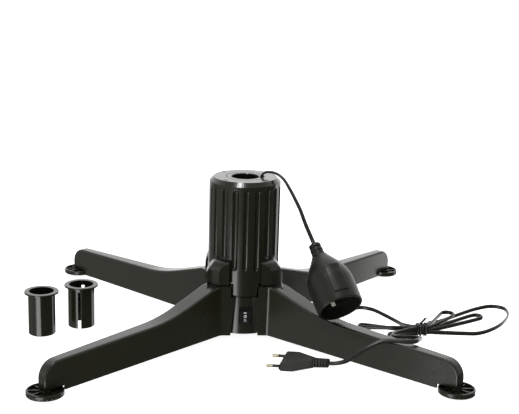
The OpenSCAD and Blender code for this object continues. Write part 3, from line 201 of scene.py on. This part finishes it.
def new_piece(name, vertices, faces, body, slot):
    """Mesh piece in the frame, riding on a body; slot is not used."""
    mesh = bpy.data.meshes.new(name)
    mesh.from_pydata([tuple(v) for v in vertices], [], faces)
    mesh.update()
    form = bmesh.new()
    form.from_mesh(mesh)
    bmesh.ops.recalc_face_normals(form, faces=form.faces)
    form.to_mesh(mesh)
    form.free()
    mesh.polygons.foreach_set("use_smooth", [True] * len(mesh.polygons))
    piece = bpy.data.objects.new(name, mesh)
    bpy.context.scene.collection.objects.link(piece)
    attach(piece, body)
    return piece


def swept(path, section, wide):
    """Vertices and faces of a closed tube; wide gives the section's wide direction at t 0 to 1."""
    vertices, faces, sides = [], [], len(section)
    for i, p in enumerate(path):
        ahead = (path[min(i + 1, len(path) - 1)] - path[max(i - 1, 0)]).normalized()
        w = wide(i / (len(path) - 1))
        w = (w - w.dot(ahead) * ahead).normalized()
        n = ahead.cross(w)
        vertices += [p + n * s[0] * MM + w * s[1] * MM for s in section]
        if i:
            start = len(vertices) - 2 * sides
            faces += [(start + j, start + (j + 1) % sides, start + sides + (j + 1) % sides,
                       start + sides + j) for j in range(sides)]
    faces += [tuple(range(sides))[::-1], tuple(range(len(vertices) - sides, len(vertices)))]
    return vertices, faces


WAIST_DEEP = 0.1                # share of the cord's thickness
WAIST_WIDE = 0.3                # share of its half width
SQUARENESS = 0.72               # 1 is an ellipse, less is a fuller outline


def flat_cord_section(thick, wide, points=16):
    """Outline of a flat cord: two half rounds with a shallow waist between the cores."""
    outline = []
    for i in range(points):
        a = 2 * math.pi * (i + 0.5) / points
        side = math.sin(a)
        waist = 1 - WAIST_DEEP * math.exp(-(side / WAIST_WIDE) ** 2)
        bulge = math.copysign(abs(math.cos(a)) ** SQUARENESS, math.cos(a))
        outline.append((thick / 2 * bulge * waist, wide / 2 * side))
    return outline


def round_section(diameter, points=10):
    return [(diameter / 2 * math.cos(2 * math.pi * i / points),
             diameter / 2 * math.sin(2 * math.pi * i / points)) for i in range(points)]


# ---------------------------------------------------------------- cords

# About how far apart the points of a route are, in millimetres
LEAD_STEP = 2.5
MAINS_STEP = 3.5


def lead_to_coupler():
    """Short flat lead from the turning socket to the coupler."""
    path = route(LEAD_POINTS, LEAD_STEP)
    start = Vector((-math.sin(EXIT_ANGLE), math.cos(EXIT_ANGLE), 0))
    end = turned((0, 1, 0), COUPLER_TURN)
    piece = new_piece("flat_lead", *swept(path, flat_cord_section(CORD_THICK, CORD_WIDE),
                                          lambda t: blend(start, end, t)),
                      "turntable", "cord_vinyl")
    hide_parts("socket_lead")
    return piece


def mains_cord():
    """Flat mains cord from the gland through the bound loops to the plug, in one run."""
    before = route(MAINS_POINTS + HANK_POINTS[1:], MAINS_STEP)
    whole = route(MAINS_POINTS + HANK_POINTS[1:] + TAIL_POINTS[1:], MAINS_STEP)
    tail_start = len(before) / len(whole)
    end = turned((0, -1, 0), PLUG_TURN)

    def wide(t):
        return blend(UP, end, max(0, (t - tail_start) / (1 - tail_start)))

    piece = new_piece("flat_mains_cord", *swept(whole, flat_cord_section(CORD_THICK, CORD_WIDE),
                                                wide), "stand", "cord_vinyl")
    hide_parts("mains_lead", "mains_hank", "plug_tail")
    return piece


TIE_TURNS = 4
TIE_REACH = 7.5                 # from the coil's middle to its outer turns
TIE_LEAN = 1.6                  # how far the turns stray along the cord
TIE_SQUARENESS = 6              # 2 is an ellipse, more is squarer
TIE_STEPS = 28                  # points in a turn
TWIST_AT = (-1, 1.2)            # where the twisted ends leave the coil, from its middle
TWIST_LONG = 11
TWIST_WAY = (0.55, -0.3, 0.8)   # the way they rise
TWIST_TURNS = 2
TWIST_RADIUS = TIE_WIRE * 0.52
TWIST_STEPS = 30


def tie_coil(half_wide, half_high):
    """Turns round the passes, squarish in section and a little askew."""
    points = []
    for i in range(TIE_TURNS * TIE_STEPS + 1):
        a = 2 * math.pi * i / TIE_STEPS + math.pi / 2
        c, s = math.cos(a), math.sin(a)
        k = (abs(c) ** TIE_SQUARENESS + abs(s) ** TIE_SQUARENESS) ** (-1 / TIE_SQUARENESS)
        lean = TIE_LEAN * math.sin(a / TIE_TURNS + 0.6) * s
        points.append((blend(-TIE_REACH, TIE_REACH, i / TIE_TURNS / TIE_STEPS) + lean,
                       half_wide * k * c, half_high * k * s))
    return points


def tie_end(side, bottom):
    """One of the two ends, twisted round the other as they rise from the coil."""
    points = []
    r = side * TWIST_RADIUS
    for i in range(TWIST_STEPS + 1):
        a = 2 * math.pi * TWIST_TURNS * i / TWIST_STEPS
        x, y, z = (TWIST_LONG * i / TWIST_STEPS * w for w in TWIST_WAY)
        points.append((TWIST_AT[0] + x + r * math.cos(a), TWIST_AT[1] + y + r * math.sin(a),
                       bottom + z))
    return points


def wire_tie():
    """Coated wire wound round the passes, its ends twisted together on top."""
    half_wide = 1.5 * PASS_APART + TIE_WIRE / 2 + 0.1
    half_high = PASS_RISE + TIE_WIRE / 2 + 0.05
    middle = Vector((*TIE_AT, (LOW_PASS + HIGH_PASS) / 2))
    spin = Matrix.Rotation(math.radians(TIE_ANGLE), 3, "Z")
    vertices, faces = [], []
    for points in (tie_coil(half_wide, half_high), tie_end(1, half_high), tie_end(-1, half_high)):
        path = [(middle + spin @ Vector(p)) * MM for p in points]
        tube = swept(path, round_section(TIE_WIRE), lambda t: Vector((1, 0, 0.3)))
        faces += [tuple(len(vertices) + k for k in face) for face in tube[1]]
        vertices += tube[0]
    piece = new_piece("wire_tie", vertices, faces, "stand", "tie_vinyl")
    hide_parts("cord_tie")
    return piece


TIE = wire_tie()
LEAD = lead_to_coupler()
CORD = mains_cord()

# ---------------------------------------------------------------- coupler's grip pads

COUPLER_NECK = (17.7, 10)       # distance from the boot's start and radius, in millimetres
COUPLER_WIDEST = (62, 29)
COUPLER_SWELL = 1.25            # more keeps the body slim for longer
PAD_SPAN = (45.5, 83)           # distances of a pad's ends from the boot's start
PAD_HALF_ANGLE = 19
PAD_PROUD = 0.95                # above the body at the pad's lower end
PAD_LIP = 3.1                   # above the body at its upper end
PAD_SUNK = 0.8
PAD_ROUNDING = 0.5
PAD_ROWS, PAD_COLUMNS = 14, 10


def coupler_side(x):
    """Radius of the coupler's body at distance x from its boot's start."""
    u = (COUPLER_WIDEST[0] - min(x, COUPLER_WIDEST[0])) / (COUPLER_WIDEST[0] - COUPLER_NECK[0])
    return COUPLER_NECK[1] + (COUPLER_WIDEST[1] - COUPLER_NECK[1]) * (1 - u * u) ** COUPLER_SWELL


def grip_pad(name, middle):
    """Raised pad on the coupler's side, straighter than the body, so its top end stands out."""
    rows, columns = PAD_ROWS, PAD_COLUMNS
    lip = coupler_side(PAD_SPAN[0]) + PAD_LIP
    vertices, faces = [], []
    for sunk in (False, True):
        for i in range(rows + 1):
            x = blend(*PAD_SPAN, i / rows)
            body = coupler_side(x)
            top = max(body + PAD_PROUD, blend(lip, body + PAD_PROUD, i / rows))
            for j in range(columns + 1):
                a = math.radians(middle + blend(-PAD_HALF_ANGLE, PAD_HALF_ANGLE, j / columns))
                r = body - PAD_SUNK if sunk else top
                local = Vector((r * math.cos(a), r * math.sin(a), x))
                upright = Vector((local.z, local.y, -local.x))
                vertices.append((COUPLER_AT + turned(upright, COUPLER_TURN)) * MM)
    stride = columns + 1
    below = (rows + 1) * stride
    for i in range(rows):
        for j in range(columns):
            k = i * stride + j
            faces += [(k, k + 1, k + 1 + stride, k + stride),
                      (below + k, below + k + stride, below + k + 1 + stride, below + k + 1)]
    edge = ([j for j in range(columns)] + [i * stride + columns for i in range(rows)]
            + [rows * stride + columns - j for j in range(columns)]
            + [(rows - i) * stride for i in range(rows)])
    for k, m in zip(edge, edge[1:] + edge[:1]):
        faces.append((k, below + k, below + m, m))
    piece = new_piece(name, vertices, faces, "turntable", "coupler_rubber")
    rounding = piece.modifiers.new("rounding", "BEVEL")
    rounding.width = PAD_ROUNDING * MM
    rounding.segments = 3
    rounding.angle_limit = math.radians(50)
    piece.modifiers.new("even_shading", "WEIGHTED_NORMAL")
    return piece


GRIP_PADS = [grip_pad("grip_pad_a", 0), grip_pad("grip_pad_b", 180)]

# ---------------------------------------------------------------- finishes


def linear(hex_colour):
    """sRGB hex to linear RGBA."""
    parts = [int(hex_colour[i:i + 2], 16) / 255 for i in (1, 3, 5)]
    return tuple(c / 12.92 if c <= 0.04045 else ((c + 0.055) / 1.055) ** 2.4
                 for c in parts) + (1,)


def add(tree, kind, inputs=(), **settings):
    """Adds a node: settings are its properties, inputs its sockets' values or links."""
    node = tree.nodes.new(kind)
    for name, value in settings.items():
        setattr(node, name, value)
    for socket, value in dict(inputs).items():
        if isinstance(value, bpy.types.NodeSocket):
            tree.links.new(value, node.inputs[socket])
        else:
            node.inputs[socket].default_value = value
    return node


def per_metre(size_mm):
    """Scale of a pattern whose features are size_mm across."""
    return 1 / (size_mm * MM)


def finish(name, colours, roughness, tone_mm, grain_mm, grain_depth_mm, *, ior=1.5, metallic=0,
           level=0.5, stretch=(1, 1, 1), cells=False, scuffs=0):
    """Surface with drifting tone and gloss and a fine grain.

    colours are the two tones, roughness the gloss range, tone_mm the size of the drifts,
    grain_mm and grain_depth_mm the grain's size and height, level how strongly it mirrors,
    stretch the pull of the pattern along X, Y and Z, cells whether the grain is pebbled, and
    scuffs how far fine rubbing marks roughen the surface.
    """
    material = bpy.data.materials.new(name)
    material.use_nodes = True
    tree = material.node_tree
    tree.nodes.clear()
    place = add(tree, "ShaderNodeTexCoord").outputs["Object"]
    pulled = add(tree, "ShaderNodeMapping", {"Vector": place, "Scale": stretch}).outputs[0]
    drift = add(tree, "ShaderNodeTexNoise", {"Vector": pulled, "Scale": per_metre(tone_mm),
                                             "Detail": 3, "Roughness": 0.55}).outputs["Fac"]
    tone = add(tree, "ShaderNodeMix", {0: drift, 6: linear(colours[0]), 7: linear(colours[1])},
               data_type="RGBA").outputs[2]
    gloss = add(tree, "ShaderNodeMapRange", {"Value": drift, "From Min": 0.3, "From Max": 0.7,
                                             "To Min": roughness[0], "To Max": roughness[1]})
    rough = gloss.outputs[0]
    if scuffs:
        marks = add(tree, "ShaderNodeTexNoise", {"Vector": place, "Scale": per_metre(tone_mm / 4),
                                                 "Detail": 6, "Roughness": 0.7}).outputs["Fac"]
        worn = add(tree, "ShaderNodeMapRange", {"Value": marks, "From Min": 0.55,
                                                "From Max": 0.75, "To Min": 0, "To Max": scuffs})
        rough = add(tree, "ShaderNodeMath", {0: rough, 1: worn.outputs[0]},
                    operation="ADD").outputs[0]
    fine = {"Vector": pulled, "Scale": per_metre(grain_mm)}
    if cells:
        grain = add(tree, "ShaderNodeTexVoronoi", fine).outputs["Distance"]
    else:
        grain = add(tree, "ShaderNodeTexNoise", {**fine, "Detail": 2}).outputs["Fac"]
    bump = add(tree, "ShaderNodeBump", {"Height": grain, "Distance": grain_depth_mm * MM,
                                        "Strength": 1})
    shader = add(tree, "ShaderNodeBsdfPrincipled", {
        "Base Color": tone, "Roughness": rough, "Metallic": metallic, "IOR": ior,
        "Specular IOR Level": level, "Normal": bump.outputs[0]})
    add(tree, "ShaderNodeOutputMaterial", {"Surface": shader.outputs[0]})
    return material


# ABS of the column: moulded in an etched tool, so an even satin black with a fine grain that
# softens the studio's light into broad streaks.
SATIN_ABS = finish("satin_moulded_abs", ("#14140c", "#1a1a11"), (0.17, 0.23), 60, 0.7, 0.0007)
# Glass-filled polypropylene of the legs: a touch greyer, with faint flow marks along the fill.
SATIN_POLYPROPYLENE = finish("satin_filled_polypropylene", ("#15150c", "#1c1c12"), (0.2, 0.27),
                             90, 0.9, 0.0007, ior=1.49, scuffs=0.05)
# Smooth ABS of the turning socket, from a polished tool.
SMOOTH_ABS = finish("smooth_moulded_abs", ("#12120b", "#17170f"), (0.16, 0.22), 50, 0.8, 0.002)
# Polypropylene of the levelling discs: plain tool finish with a faint ripple.
FOOT_POLYPROPYLENE = finish("moulded_polypropylene_disc", ("#14140d", "#1b1b12"), (0.22, 0.3),
                            30, 0.5, 0.008, ior=1.49, level=0.4)
# The same of the loose sleeves, from a polished tool: narrow streaks and a few scuffs.
SLEEVE_POLYPROPYLENE = finish("moulded_polypropylene_sleeve", ("#12120b", "#181810"),
                              (0.1, 0.16), 25, 0.7, 0.001, ior=1.49, scuffs=0.04)
# Polyamide of the rocker switch: polished, so small sharp glints.
GLOSSY_POLYAMIDE = finish("glossy_polyamide", ("#0f0f0f", "#141414"), (0.14, 0.2), 20, 0.6,
                          0.002, ior=1.53, level=0.45)
# Moulded rubber of the coupler: dull, slightly blotched bloom, fine pebble from the tool.
MOULDED_RUBBER = finish("moulded_rubber", ("#10100a", "#16160f"), (0.36, 0.44), 22, 0.55, 0.008,
                        ior=1.52, level=0.32, cells=True)
# Thermoset insert of the coupler: dense, nearly matt.
THERMOSET = finish("pressed_thermoset", ("#0f0f0e", "#151514"), (0.42, 0.5), 15, 0.4, 0.006,
                   ior=1.56, level=0.3)
# PVC sheath of the flat cords: satin, with the faint cross ripples of the extruder.
CORD_PVC = finish("extruded_pvc_sheath", ("#121209", "#181811"), (0.26, 0.34), 14, 0.9, 0.012,
                  ior=1.53, level=0.4)
# PVC moulded over the plug and the gland: satin, with the tool's fine grain.
PLUG_PVC = finish("overmoulded_pvc", ("#13130c", "#1a1a12"), (0.28, 0.36), 12, 0.4, 0.008,
                  ior=1.53, level=0.45)
# Nylon sleeves on the plug's pins: smooth and dark.
PIN_NYLON = finish("insulating_nylon", ("#15120e", "#1d1913"), (0.3, 0.36), 6, 0.4, 0.003,
                   ior=1.53)
# Rubber grommet where the lead leaves the socket.
GROMMET_RUBBER = finish("grommet_rubber", ("#1a1a1a", "#222222"), (0.5, 0.6), 8, 0.4, 0.01,
                        ior=1.52, level=0.3)
# Vinyl-coated tie wire: shiny, so it draws thin bright lines.
TIE_VINYL = finish("vinyl_coated_wire", ("#121212", "#191919"), (0.16, 0.24), 5, 0.5, 0.004,
                   ior=1.53)
# Nickel plate over brass on the plug's pins: warm, lightly brushed.
NICKEL_PLATE = finish("nickel_plated_brass", ("#d8cfae", "#e6dfc6"), (0.18, 0.28), 4, 0.25,
                      0.003, metallic=1, stretch=(1, 1, 4))
# The coupler's clips, seen deep in the mouth: nickel plate, made half a near-white diffuse colour
# as a painted glint.
PAINTED_GLINT_PLATE = finish("tumbled_nickel_plate", ("#e9e3cf", "#f4efdf"), (0.5, 0.6), 3, 0.25,
                       0.004, metallic=0.5)
# Turned brass of the slip rings and leaf brushes: fine rings from the lathe.
TURNED_BRASS = finish("turned_brass", ("#d2a44e", "#e0bc6c"), (0.18, 0.3), 8, 0.2, 0.003,
                      metallic=1, stretch=(1, 1, 8))
# Zinc-plated steel: cool grey with a faint blotched passivation.
ZINC_PLATE = finish("zinc_plated_steel", ("#b9bcc0", "#cfcdc4"), (0.24, 0.38), 5, 0.3, 0.004,
                    metallic=1)
# Ground and polished bearing steel.
BEARING_STEEL = finish("ground_bearing_steel", ("#c8cacc", "#dadcdd"), (0.08, 0.16), 5, 0.2,
                       0.001, metallic=1, stretch=(1, 1, 6))
# White acetal gears: waxy, softly shining.
WHITE_ACETAL = finish("moulded_acetal", ("#e4e3dd", "#efeee9"), (0.3, 0.38), 12, 0.5, 0.004,
                      ior=1.48)
# Grey glass-filled nylon of the deck and the terminal block: swirled fibre marks.
GREY_NYLON = finish("glass_filled_nylon", ("#7b7b78", "#8b8b87"), (0.42, 0.52), 9, 0.6, 0.012,
                    ior=1.53)
# PVC insulation of the inner wires.
WIRE_PVC = finish("wire_insulation", ("#244f9c", "#2d5db0"), (0.28, 0.36), 10, 0.6, 0.004,
                  ior=1.53)
# White pad-printed ink of the switch marks: flat and slightly chalky.
PRINT_INK = finish("pad_printed_ink", ("#e9e9e6", "#f6f6f4"), (0.5, 0.6), 3, 0.2, 0.003)

FINISH_OF_SLOT = {
    "housing_plastic": SATIN_ABS, "leg_plastic": SATIN_POLYPROPYLENE,
    "socket_plastic": SMOOTH_ABS, "foot_plastic": FOOT_POLYPROPYLENE,
    "sleeve_plastic": SLEEVE_POLYPROPYLENE, "switch_plastic": GLOSSY_POLYAMIDE,
    "coupler_rubber": MOULDED_RUBBER, "insert_plastic": THERMOSET, "cord_vinyl": CORD_PVC,
    "plug_vinyl": PLUG_PVC, "pin_nylon": PIN_NYLON, "grommet_rubber": GROMMET_RUBBER,
    "tie_vinyl": TIE_VINYL, "nickelled_brass": NICKEL_PLATE, "brass": TURNED_BRASS,
    "zinc_steel": ZINC_PLATE, "bearing_steel": BEARING_STEEL, "acetal": WHITE_ACETAL,
    "grey_nylon": GREY_NYLON, "wire_vinyl": WIRE_PVC}
# The clips take the nickel plate whose near-white diffuse half is a painted glint.
FINISH_OF_NODE = {"coupler_contacts": PAINTED_GLINT_PLATE}

# ---------------------------------------------------------------- rounded edges of the solids

CORNERS = ("front_left", "front_right", "back_left", "back_right")
# Radius in millimetres of the rounded edges of each solid, as its tool leaves them
EDGE_RADIUS = {
    "column_housing": 0.5, "top_cover": 0.4, "base_hub": 0.4, "base_plate": 0.3,
    "socket_rotor": 0.4, "switch_body": 0.35, "switch_rocker": 0.4, "coupler_shell": 0.5,
    "coupler_insert": 0.3, "cord_gland": 0.4, "plug_body": 0.6, "reducer_plain": 0.3,
    "reducer_split": 0.3, "lead_grommet": 0.3,
    **{"leg_" + corner: 0.4 for corner in CORNERS},
    **{"foot_disc_" + corner: 0.35 for corner in CORNERS}}
SHARPEST_SMOOTH = math.radians(26)

# Broader roundings, in millimetres: on the outer corners of the arms, and round the cover
ARM_ROUNDING = 2.8
ARM_FROM = 45                   # distance from the stand's axis where the rounding starts
ARM_ROOT = 57                   # distance where the arm starts to taper
ARM_REACH = 333.2
ARM_HALF = (13, 7)              # half widths at the root and at the tip
ARM_NOTCHED = 300               # from here on the underside is cut away for the foot
# Heights that a rounded corner lies above: along the arm, over the notch and at the tip
ARM_UNDERSIDE = (0.9, 9, 6)
COVER_ROUNDING = 2.4
COVER_RIM_FROM = 39


def on_arm_corner(p):
    """Whether a point, in millimetres, lies on an arm's outer faces."""
    out = Vector((math.copysign(1, p.x), math.copysign(1, p.y), 0)).normalized()
    reach, aside = p.dot(out), abs(p.dot(Vector((-out.y, out.x, 0))))
    half = blend(*ARM_HALF, (reach - ARM_ROOT) / (ARM_REACH - ARM_ROOT - 1))
    outside = abs(aside - half) < 0.06 or abs(reach - ARM_REACH) < 0.06
    stretch = 2 if reach > ARM_REACH - 0.1 else 1 if reach > ARM_NOTCHED else 0
    return reach > ARM_FROM and outside and p.z > ARM_UNDERSIDE[stretch]


def on_cover_rim(p):
    return math.hypot(p.x, p.y) > COVER_RIM_FROM


# By the start of a solid's name: which vertices, what radius, and whether it shrinks to fit
BROAD_ROUNDINGS = {"leg_": (on_arm_corner, ARM_ROUNDING, False),
                   "top_cover": (on_cover_rim, COVER_ROUNDING, True)}


def add_rounding(solid, name, radius_mm, segments):
    """Rounds the edges that are sharper than a smooth one."""
    rounding = solid.modifiers.new(name, "BEVEL")
    rounding.width = radius_mm * MM
    rounding.segments = segments
    rounding.limit_method = "ANGLE"
    rounding.angle_limit = SHARPEST_SMOOTH
    rounding.miter_outer = "MITER_ARC"
    return rounding


def round_edges(solid, radius_mm):
    """Welds the solid's facets and rounds its edges, without touching its mesh."""
    weld = solid.modifiers.new("weld", "WELD")
    weld.merge_threshold = 0.002 * MM
    merge = solid.modifiers.new("merge_facets", "DECIMATE")
    merge.decimate_type = "DISSOLVE"
    merge.angle_limit = math.radians(0.4)
    for start, (chosen, broad_mm, fitted) in BROAD_ROUNDINGS.items():
        if solid.name.startswith(start):
            group = solid.vertex_groups.new(name="broad")
            group.add([v.index for v in solid.data.vertices if chosen(v.co / MM)], 1, "REPLACE")
            broad = add_rounding(solid, "broad_rounding", broad_mm, 4)
            broad.limit_method = "VGROUP"
            broad.vertex_group = "broad"
            broad.use_clamp_overlap = fitted
    add_rounding(solid, "fine_rounding", radius_mm, 2)
    solid.modifiers.new("even_shading", "WEIGHTED_NORMAL").keep_sharp = True


def dress_solids():
    """Gives every solid its finish, and rounded edges where they show."""
    for row in frame["record"]["subparts"]:
        solid = NODES[row["node"]]
        solid.data.materials.clear()
        solid.data.materials.append(FINISH_OF_NODE.get(row["node"])
                                    or FINISH_OF_SLOT[row["material_slot"]])
        solid.data.polygons.foreach_set("use_smooth", [True] * len(solid.data.polygons))
        if row["node"] in EDGE_RADIUS:
            round_edges(solid, EDGE_RADIUS[row["node"]])


dress_solids()
for piece, material in ((TIE, TIE_VINYL), (LEAD, CORD_PVC), (CORD, CORD_PVC),
                        *((pad, MOULDED_RUBBER) for pad in GRIP_PADS)):
    piece.data.materials.append(material)

# ---------------------------------------------------------------- switch marks

SWITCH_X = 1
SWITCH_FRAME_Y = -45.6
ROCKER_MIDDLE_Z = 26
ROCKER_HALF = 9
ROCKER_OUT = 2.7                # from the frame to the hollow front's deepest line
ROCKER_HOLLOW = 1.7             # how much farther out its ends are
INK_THICK = 0.03
RING_RADII = (1.05, 2.05)
RING_Z = 26.8
RING_PARTS = 20
# Height, width and thickness of the bars: I above the ring, II below it
BARS = [(31.8, 4.0, 1.3), (22.4, 3.4, 0.6), (20.9, 3.4, 0.6)]


def rocker_marks():
    """I, O and II on the rocker, lying on their sides as on an upright switch."""
    form = bmesh.new()

    def on_rocker(x, z):
        """Point just off the rocker's hollow front."""
        out = ROCKER_OUT + ROCKER_HOLLOW * abs(z - ROCKER_MIDDLE_Z) / ROCKER_HALF + INK_THICK
        return form.verts.new((x * MM, (SWITCH_FRAME_Y - out) * MM, z * MM))

    for z, wide, high in BARS:
        x0, x1 = SWITCH_X - wide / 2, SWITCH_X + wide / 2
        z0, z1 = z - high / 2, z + high / 2
        form.faces.new([on_rocker(*p) for p in ((x0, z0), (x1, z0), (x1, z1), (x0, z1))])
    rim = []
    for i in range(RING_PARTS):
        a = 2 * math.pi * i / RING_PARTS
        rim.append([on_rocker(SWITCH_X + r * math.cos(a), RING_Z + r * math.sin(a))
                    for r in RING_RADII])
    for a, b in zip(rim, rim[1:] + rim[:1]):
        form.faces.new((a[0], a[1], b[1], b[0]))
    bmesh.ops.solidify(form, geom=form.faces[:], thickness=INK_THICK * MM)
    mesh = bpy.data.meshes.new("rocker_marks")
    form.to_mesh(mesh)
    form.free()
    piece = bpy.data.objects.new("rocker_marks", mesh)
    bpy.context.scene.collection.objects.link(piece)
    mesh.materials.append(PRINT_INK)
    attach(piece, "rocker")


rocker_marks()

# ---------------------------------------------------------------- studio

FLOOR_HALF = 30                 # in metres
FLOOR_DROP = 6.5                # a levelling disc's travel and a little more, in millimetres
FLOOR_GLOW = 0.9


def paper_floor():
    """Wide white paper under the stand, lit until it is as white as the photograph's.

    Black flags keep it out of the plastic's reflections, so rays for gloss pass it by. It lies
    a little lower than the feet, since the levelling discs screw down from there.
    """
    half = FLOOR_HALF
    mesh = bpy.data.meshes.new("paper_floor")
    mesh.from_pydata([(-half, -half, 0), (half, -half, 0), (half, half, 0), (-half, half, 0)], [],
                     [(0, 1, 2, 3)])
    floor = bpy.data.objects.new("paper_floor", mesh)
    bpy.context.scene.collection.objects.link(floor)
    floor.location.z = -FLOOR_DROP * MM
    floor.visible_glossy = False
    floor.visible_shadow = False
    material = bpy.data.materials.new("white_paper")
    material.use_nodes = True
    tree = material.node_tree
    tree.nodes.clear()
    place = add(tree, "ShaderNodeTexCoord").outputs["Object"]
    fibre = add(tree, "ShaderNodeTexNoise", {"Vector": place, "Scale": per_metre(3)}).outputs["Fac"]
    bump = add(tree, "ShaderNodeBump", {"Height": fibre, "Distance": 0.02 * MM})
    shader = add(tree, "ShaderNodeBsdfPrincipled", {
        "Base Color": linear("#f4f4f4"), "Roughness": 0.9, "Specular IOR Level": 0.1,
        "Emission Color": linear("#ffffff"), "Emission Strength": FLOOR_GLOW,
        "Normal": bump.outputs[0]})
    add(tree, "ShaderNodeOutputMaterial", {"Surface": shader.outputs[0]})
    mesh.materials.append(material)


# Soft glows of the room: direction to the middle, half angles in degrees where the light is
# full and where it ends, and radiance
GLOWS = [
    ((0.05, 1, 0.28), 30, 75, 1.15),    # bright wall behind: grey sheen on level faces
    ((-0.9, -0.45, -0.2), 25, 60, 0.5),  # pale wall at the left
    ((0.35, 0.85, -0.3), 22, 50, 0.4),  # table edge behind, at the right
]
HAZE = ((-0.12, 0.10), (0.08, 0.65))    # height of the view direction, and radiance there

# Light boxes: middle in metres, the point they face, size in metres, and radiance. The low ones
# hang past the edge of the table, so upright faces mirror them.
BOXES = [
    ("overhead_box", (-0.25, -0.33, 1.45), (0, 0, 0), (0.26, 0.13), 50),
    ("low_box_left", (-0.52, -0.79, -0.38), (0, 0, 0), (0.5, 0.46), 5.2),
    ("low_strip_right", (0.75, 0.4, -0.2), (0, 0, 0.1), (0.18, 0.6), 2.6),
]


def soft_room():
    """Surroundings: dim below the horizon and pale above it, with broad soft glows."""
    world = bpy.data.worlds.new("soft_room")
    bpy.context.scene.world = world
    world.use_nodes = True
    tree = world.node_tree
    tree.nodes.clear()
    ahead = add(tree, "ShaderNodeTexCoord").outputs["Generated"]
    height = add(tree, "ShaderNodeSeparateXYZ", {0: ahead}).outputs["Z"]
    glow = add(tree, "ShaderNodeMapRange", {
        "Value": height, "From Min": HAZE[0][0], "To Min": HAZE[0][1],
        "From Max": HAZE[1][0], "To Max": HAZE[1][1]}, interpolation_type="SMOOTHSTEP").outputs[0]
    for middle, full, end, radiance in GLOWS:
        nearness = add(tree, "ShaderNodeVectorMath", {0: ahead, 1: Vector(middle).normalized()},
                       operation="DOT_PRODUCT").outputs["Value"]
        part = add(tree, "ShaderNodeMapRange", {
            "Value": nearness, "From Min": math.cos(math.radians(end)),
            "From Max": math.cos(math.radians(full)), "To Min": 0.0, "To Max": radiance},
            interpolation_type="SMOOTHSTEP").outputs[0]
        glow = add(tree, "ShaderNodeMath", {0: glow, 1: part}, operation="ADD").outputs[0]
    light = add(tree, "ShaderNodeBackground", {"Strength": glow})
    add(tree, "ShaderNodeOutputWorld", {"Surface": light.outputs[0]})


def light_box(name, place, target, size, radiance):
    """Flat soft light that faces its target and stays out of the picture."""
    data = bpy.data.lights.new(name, "AREA")
    data.shape = "RECTANGLE"
    data.size, data.size_y = size
    data.energy = radiance * math.pi * size[0] * size[1]
    light = bpy.data.objects.new(name, data)
    light.visible_camera = False
    bpy.context.scene.collection.objects.link(light)
    look = (Vector(target) - Vector(place)).to_track_quat("-Z", "Y")
    light.matrix_world = Matrix.Translation(place) @ look.to_matrix().to_4x4()


paper_floor()
soft_room()
for box in BOXES:
    light_box(*box)

scene = bpy.context.scene
scene.view_settings.view_transform = "Standard"
scene.view_settings.look = "None"

# ---------------------------------------------------------------- box corners as plain lists


def rows(box):
    """Corners of a box as plain lists."""
    return [[round(value, 6) for value in corner] for corner in box]
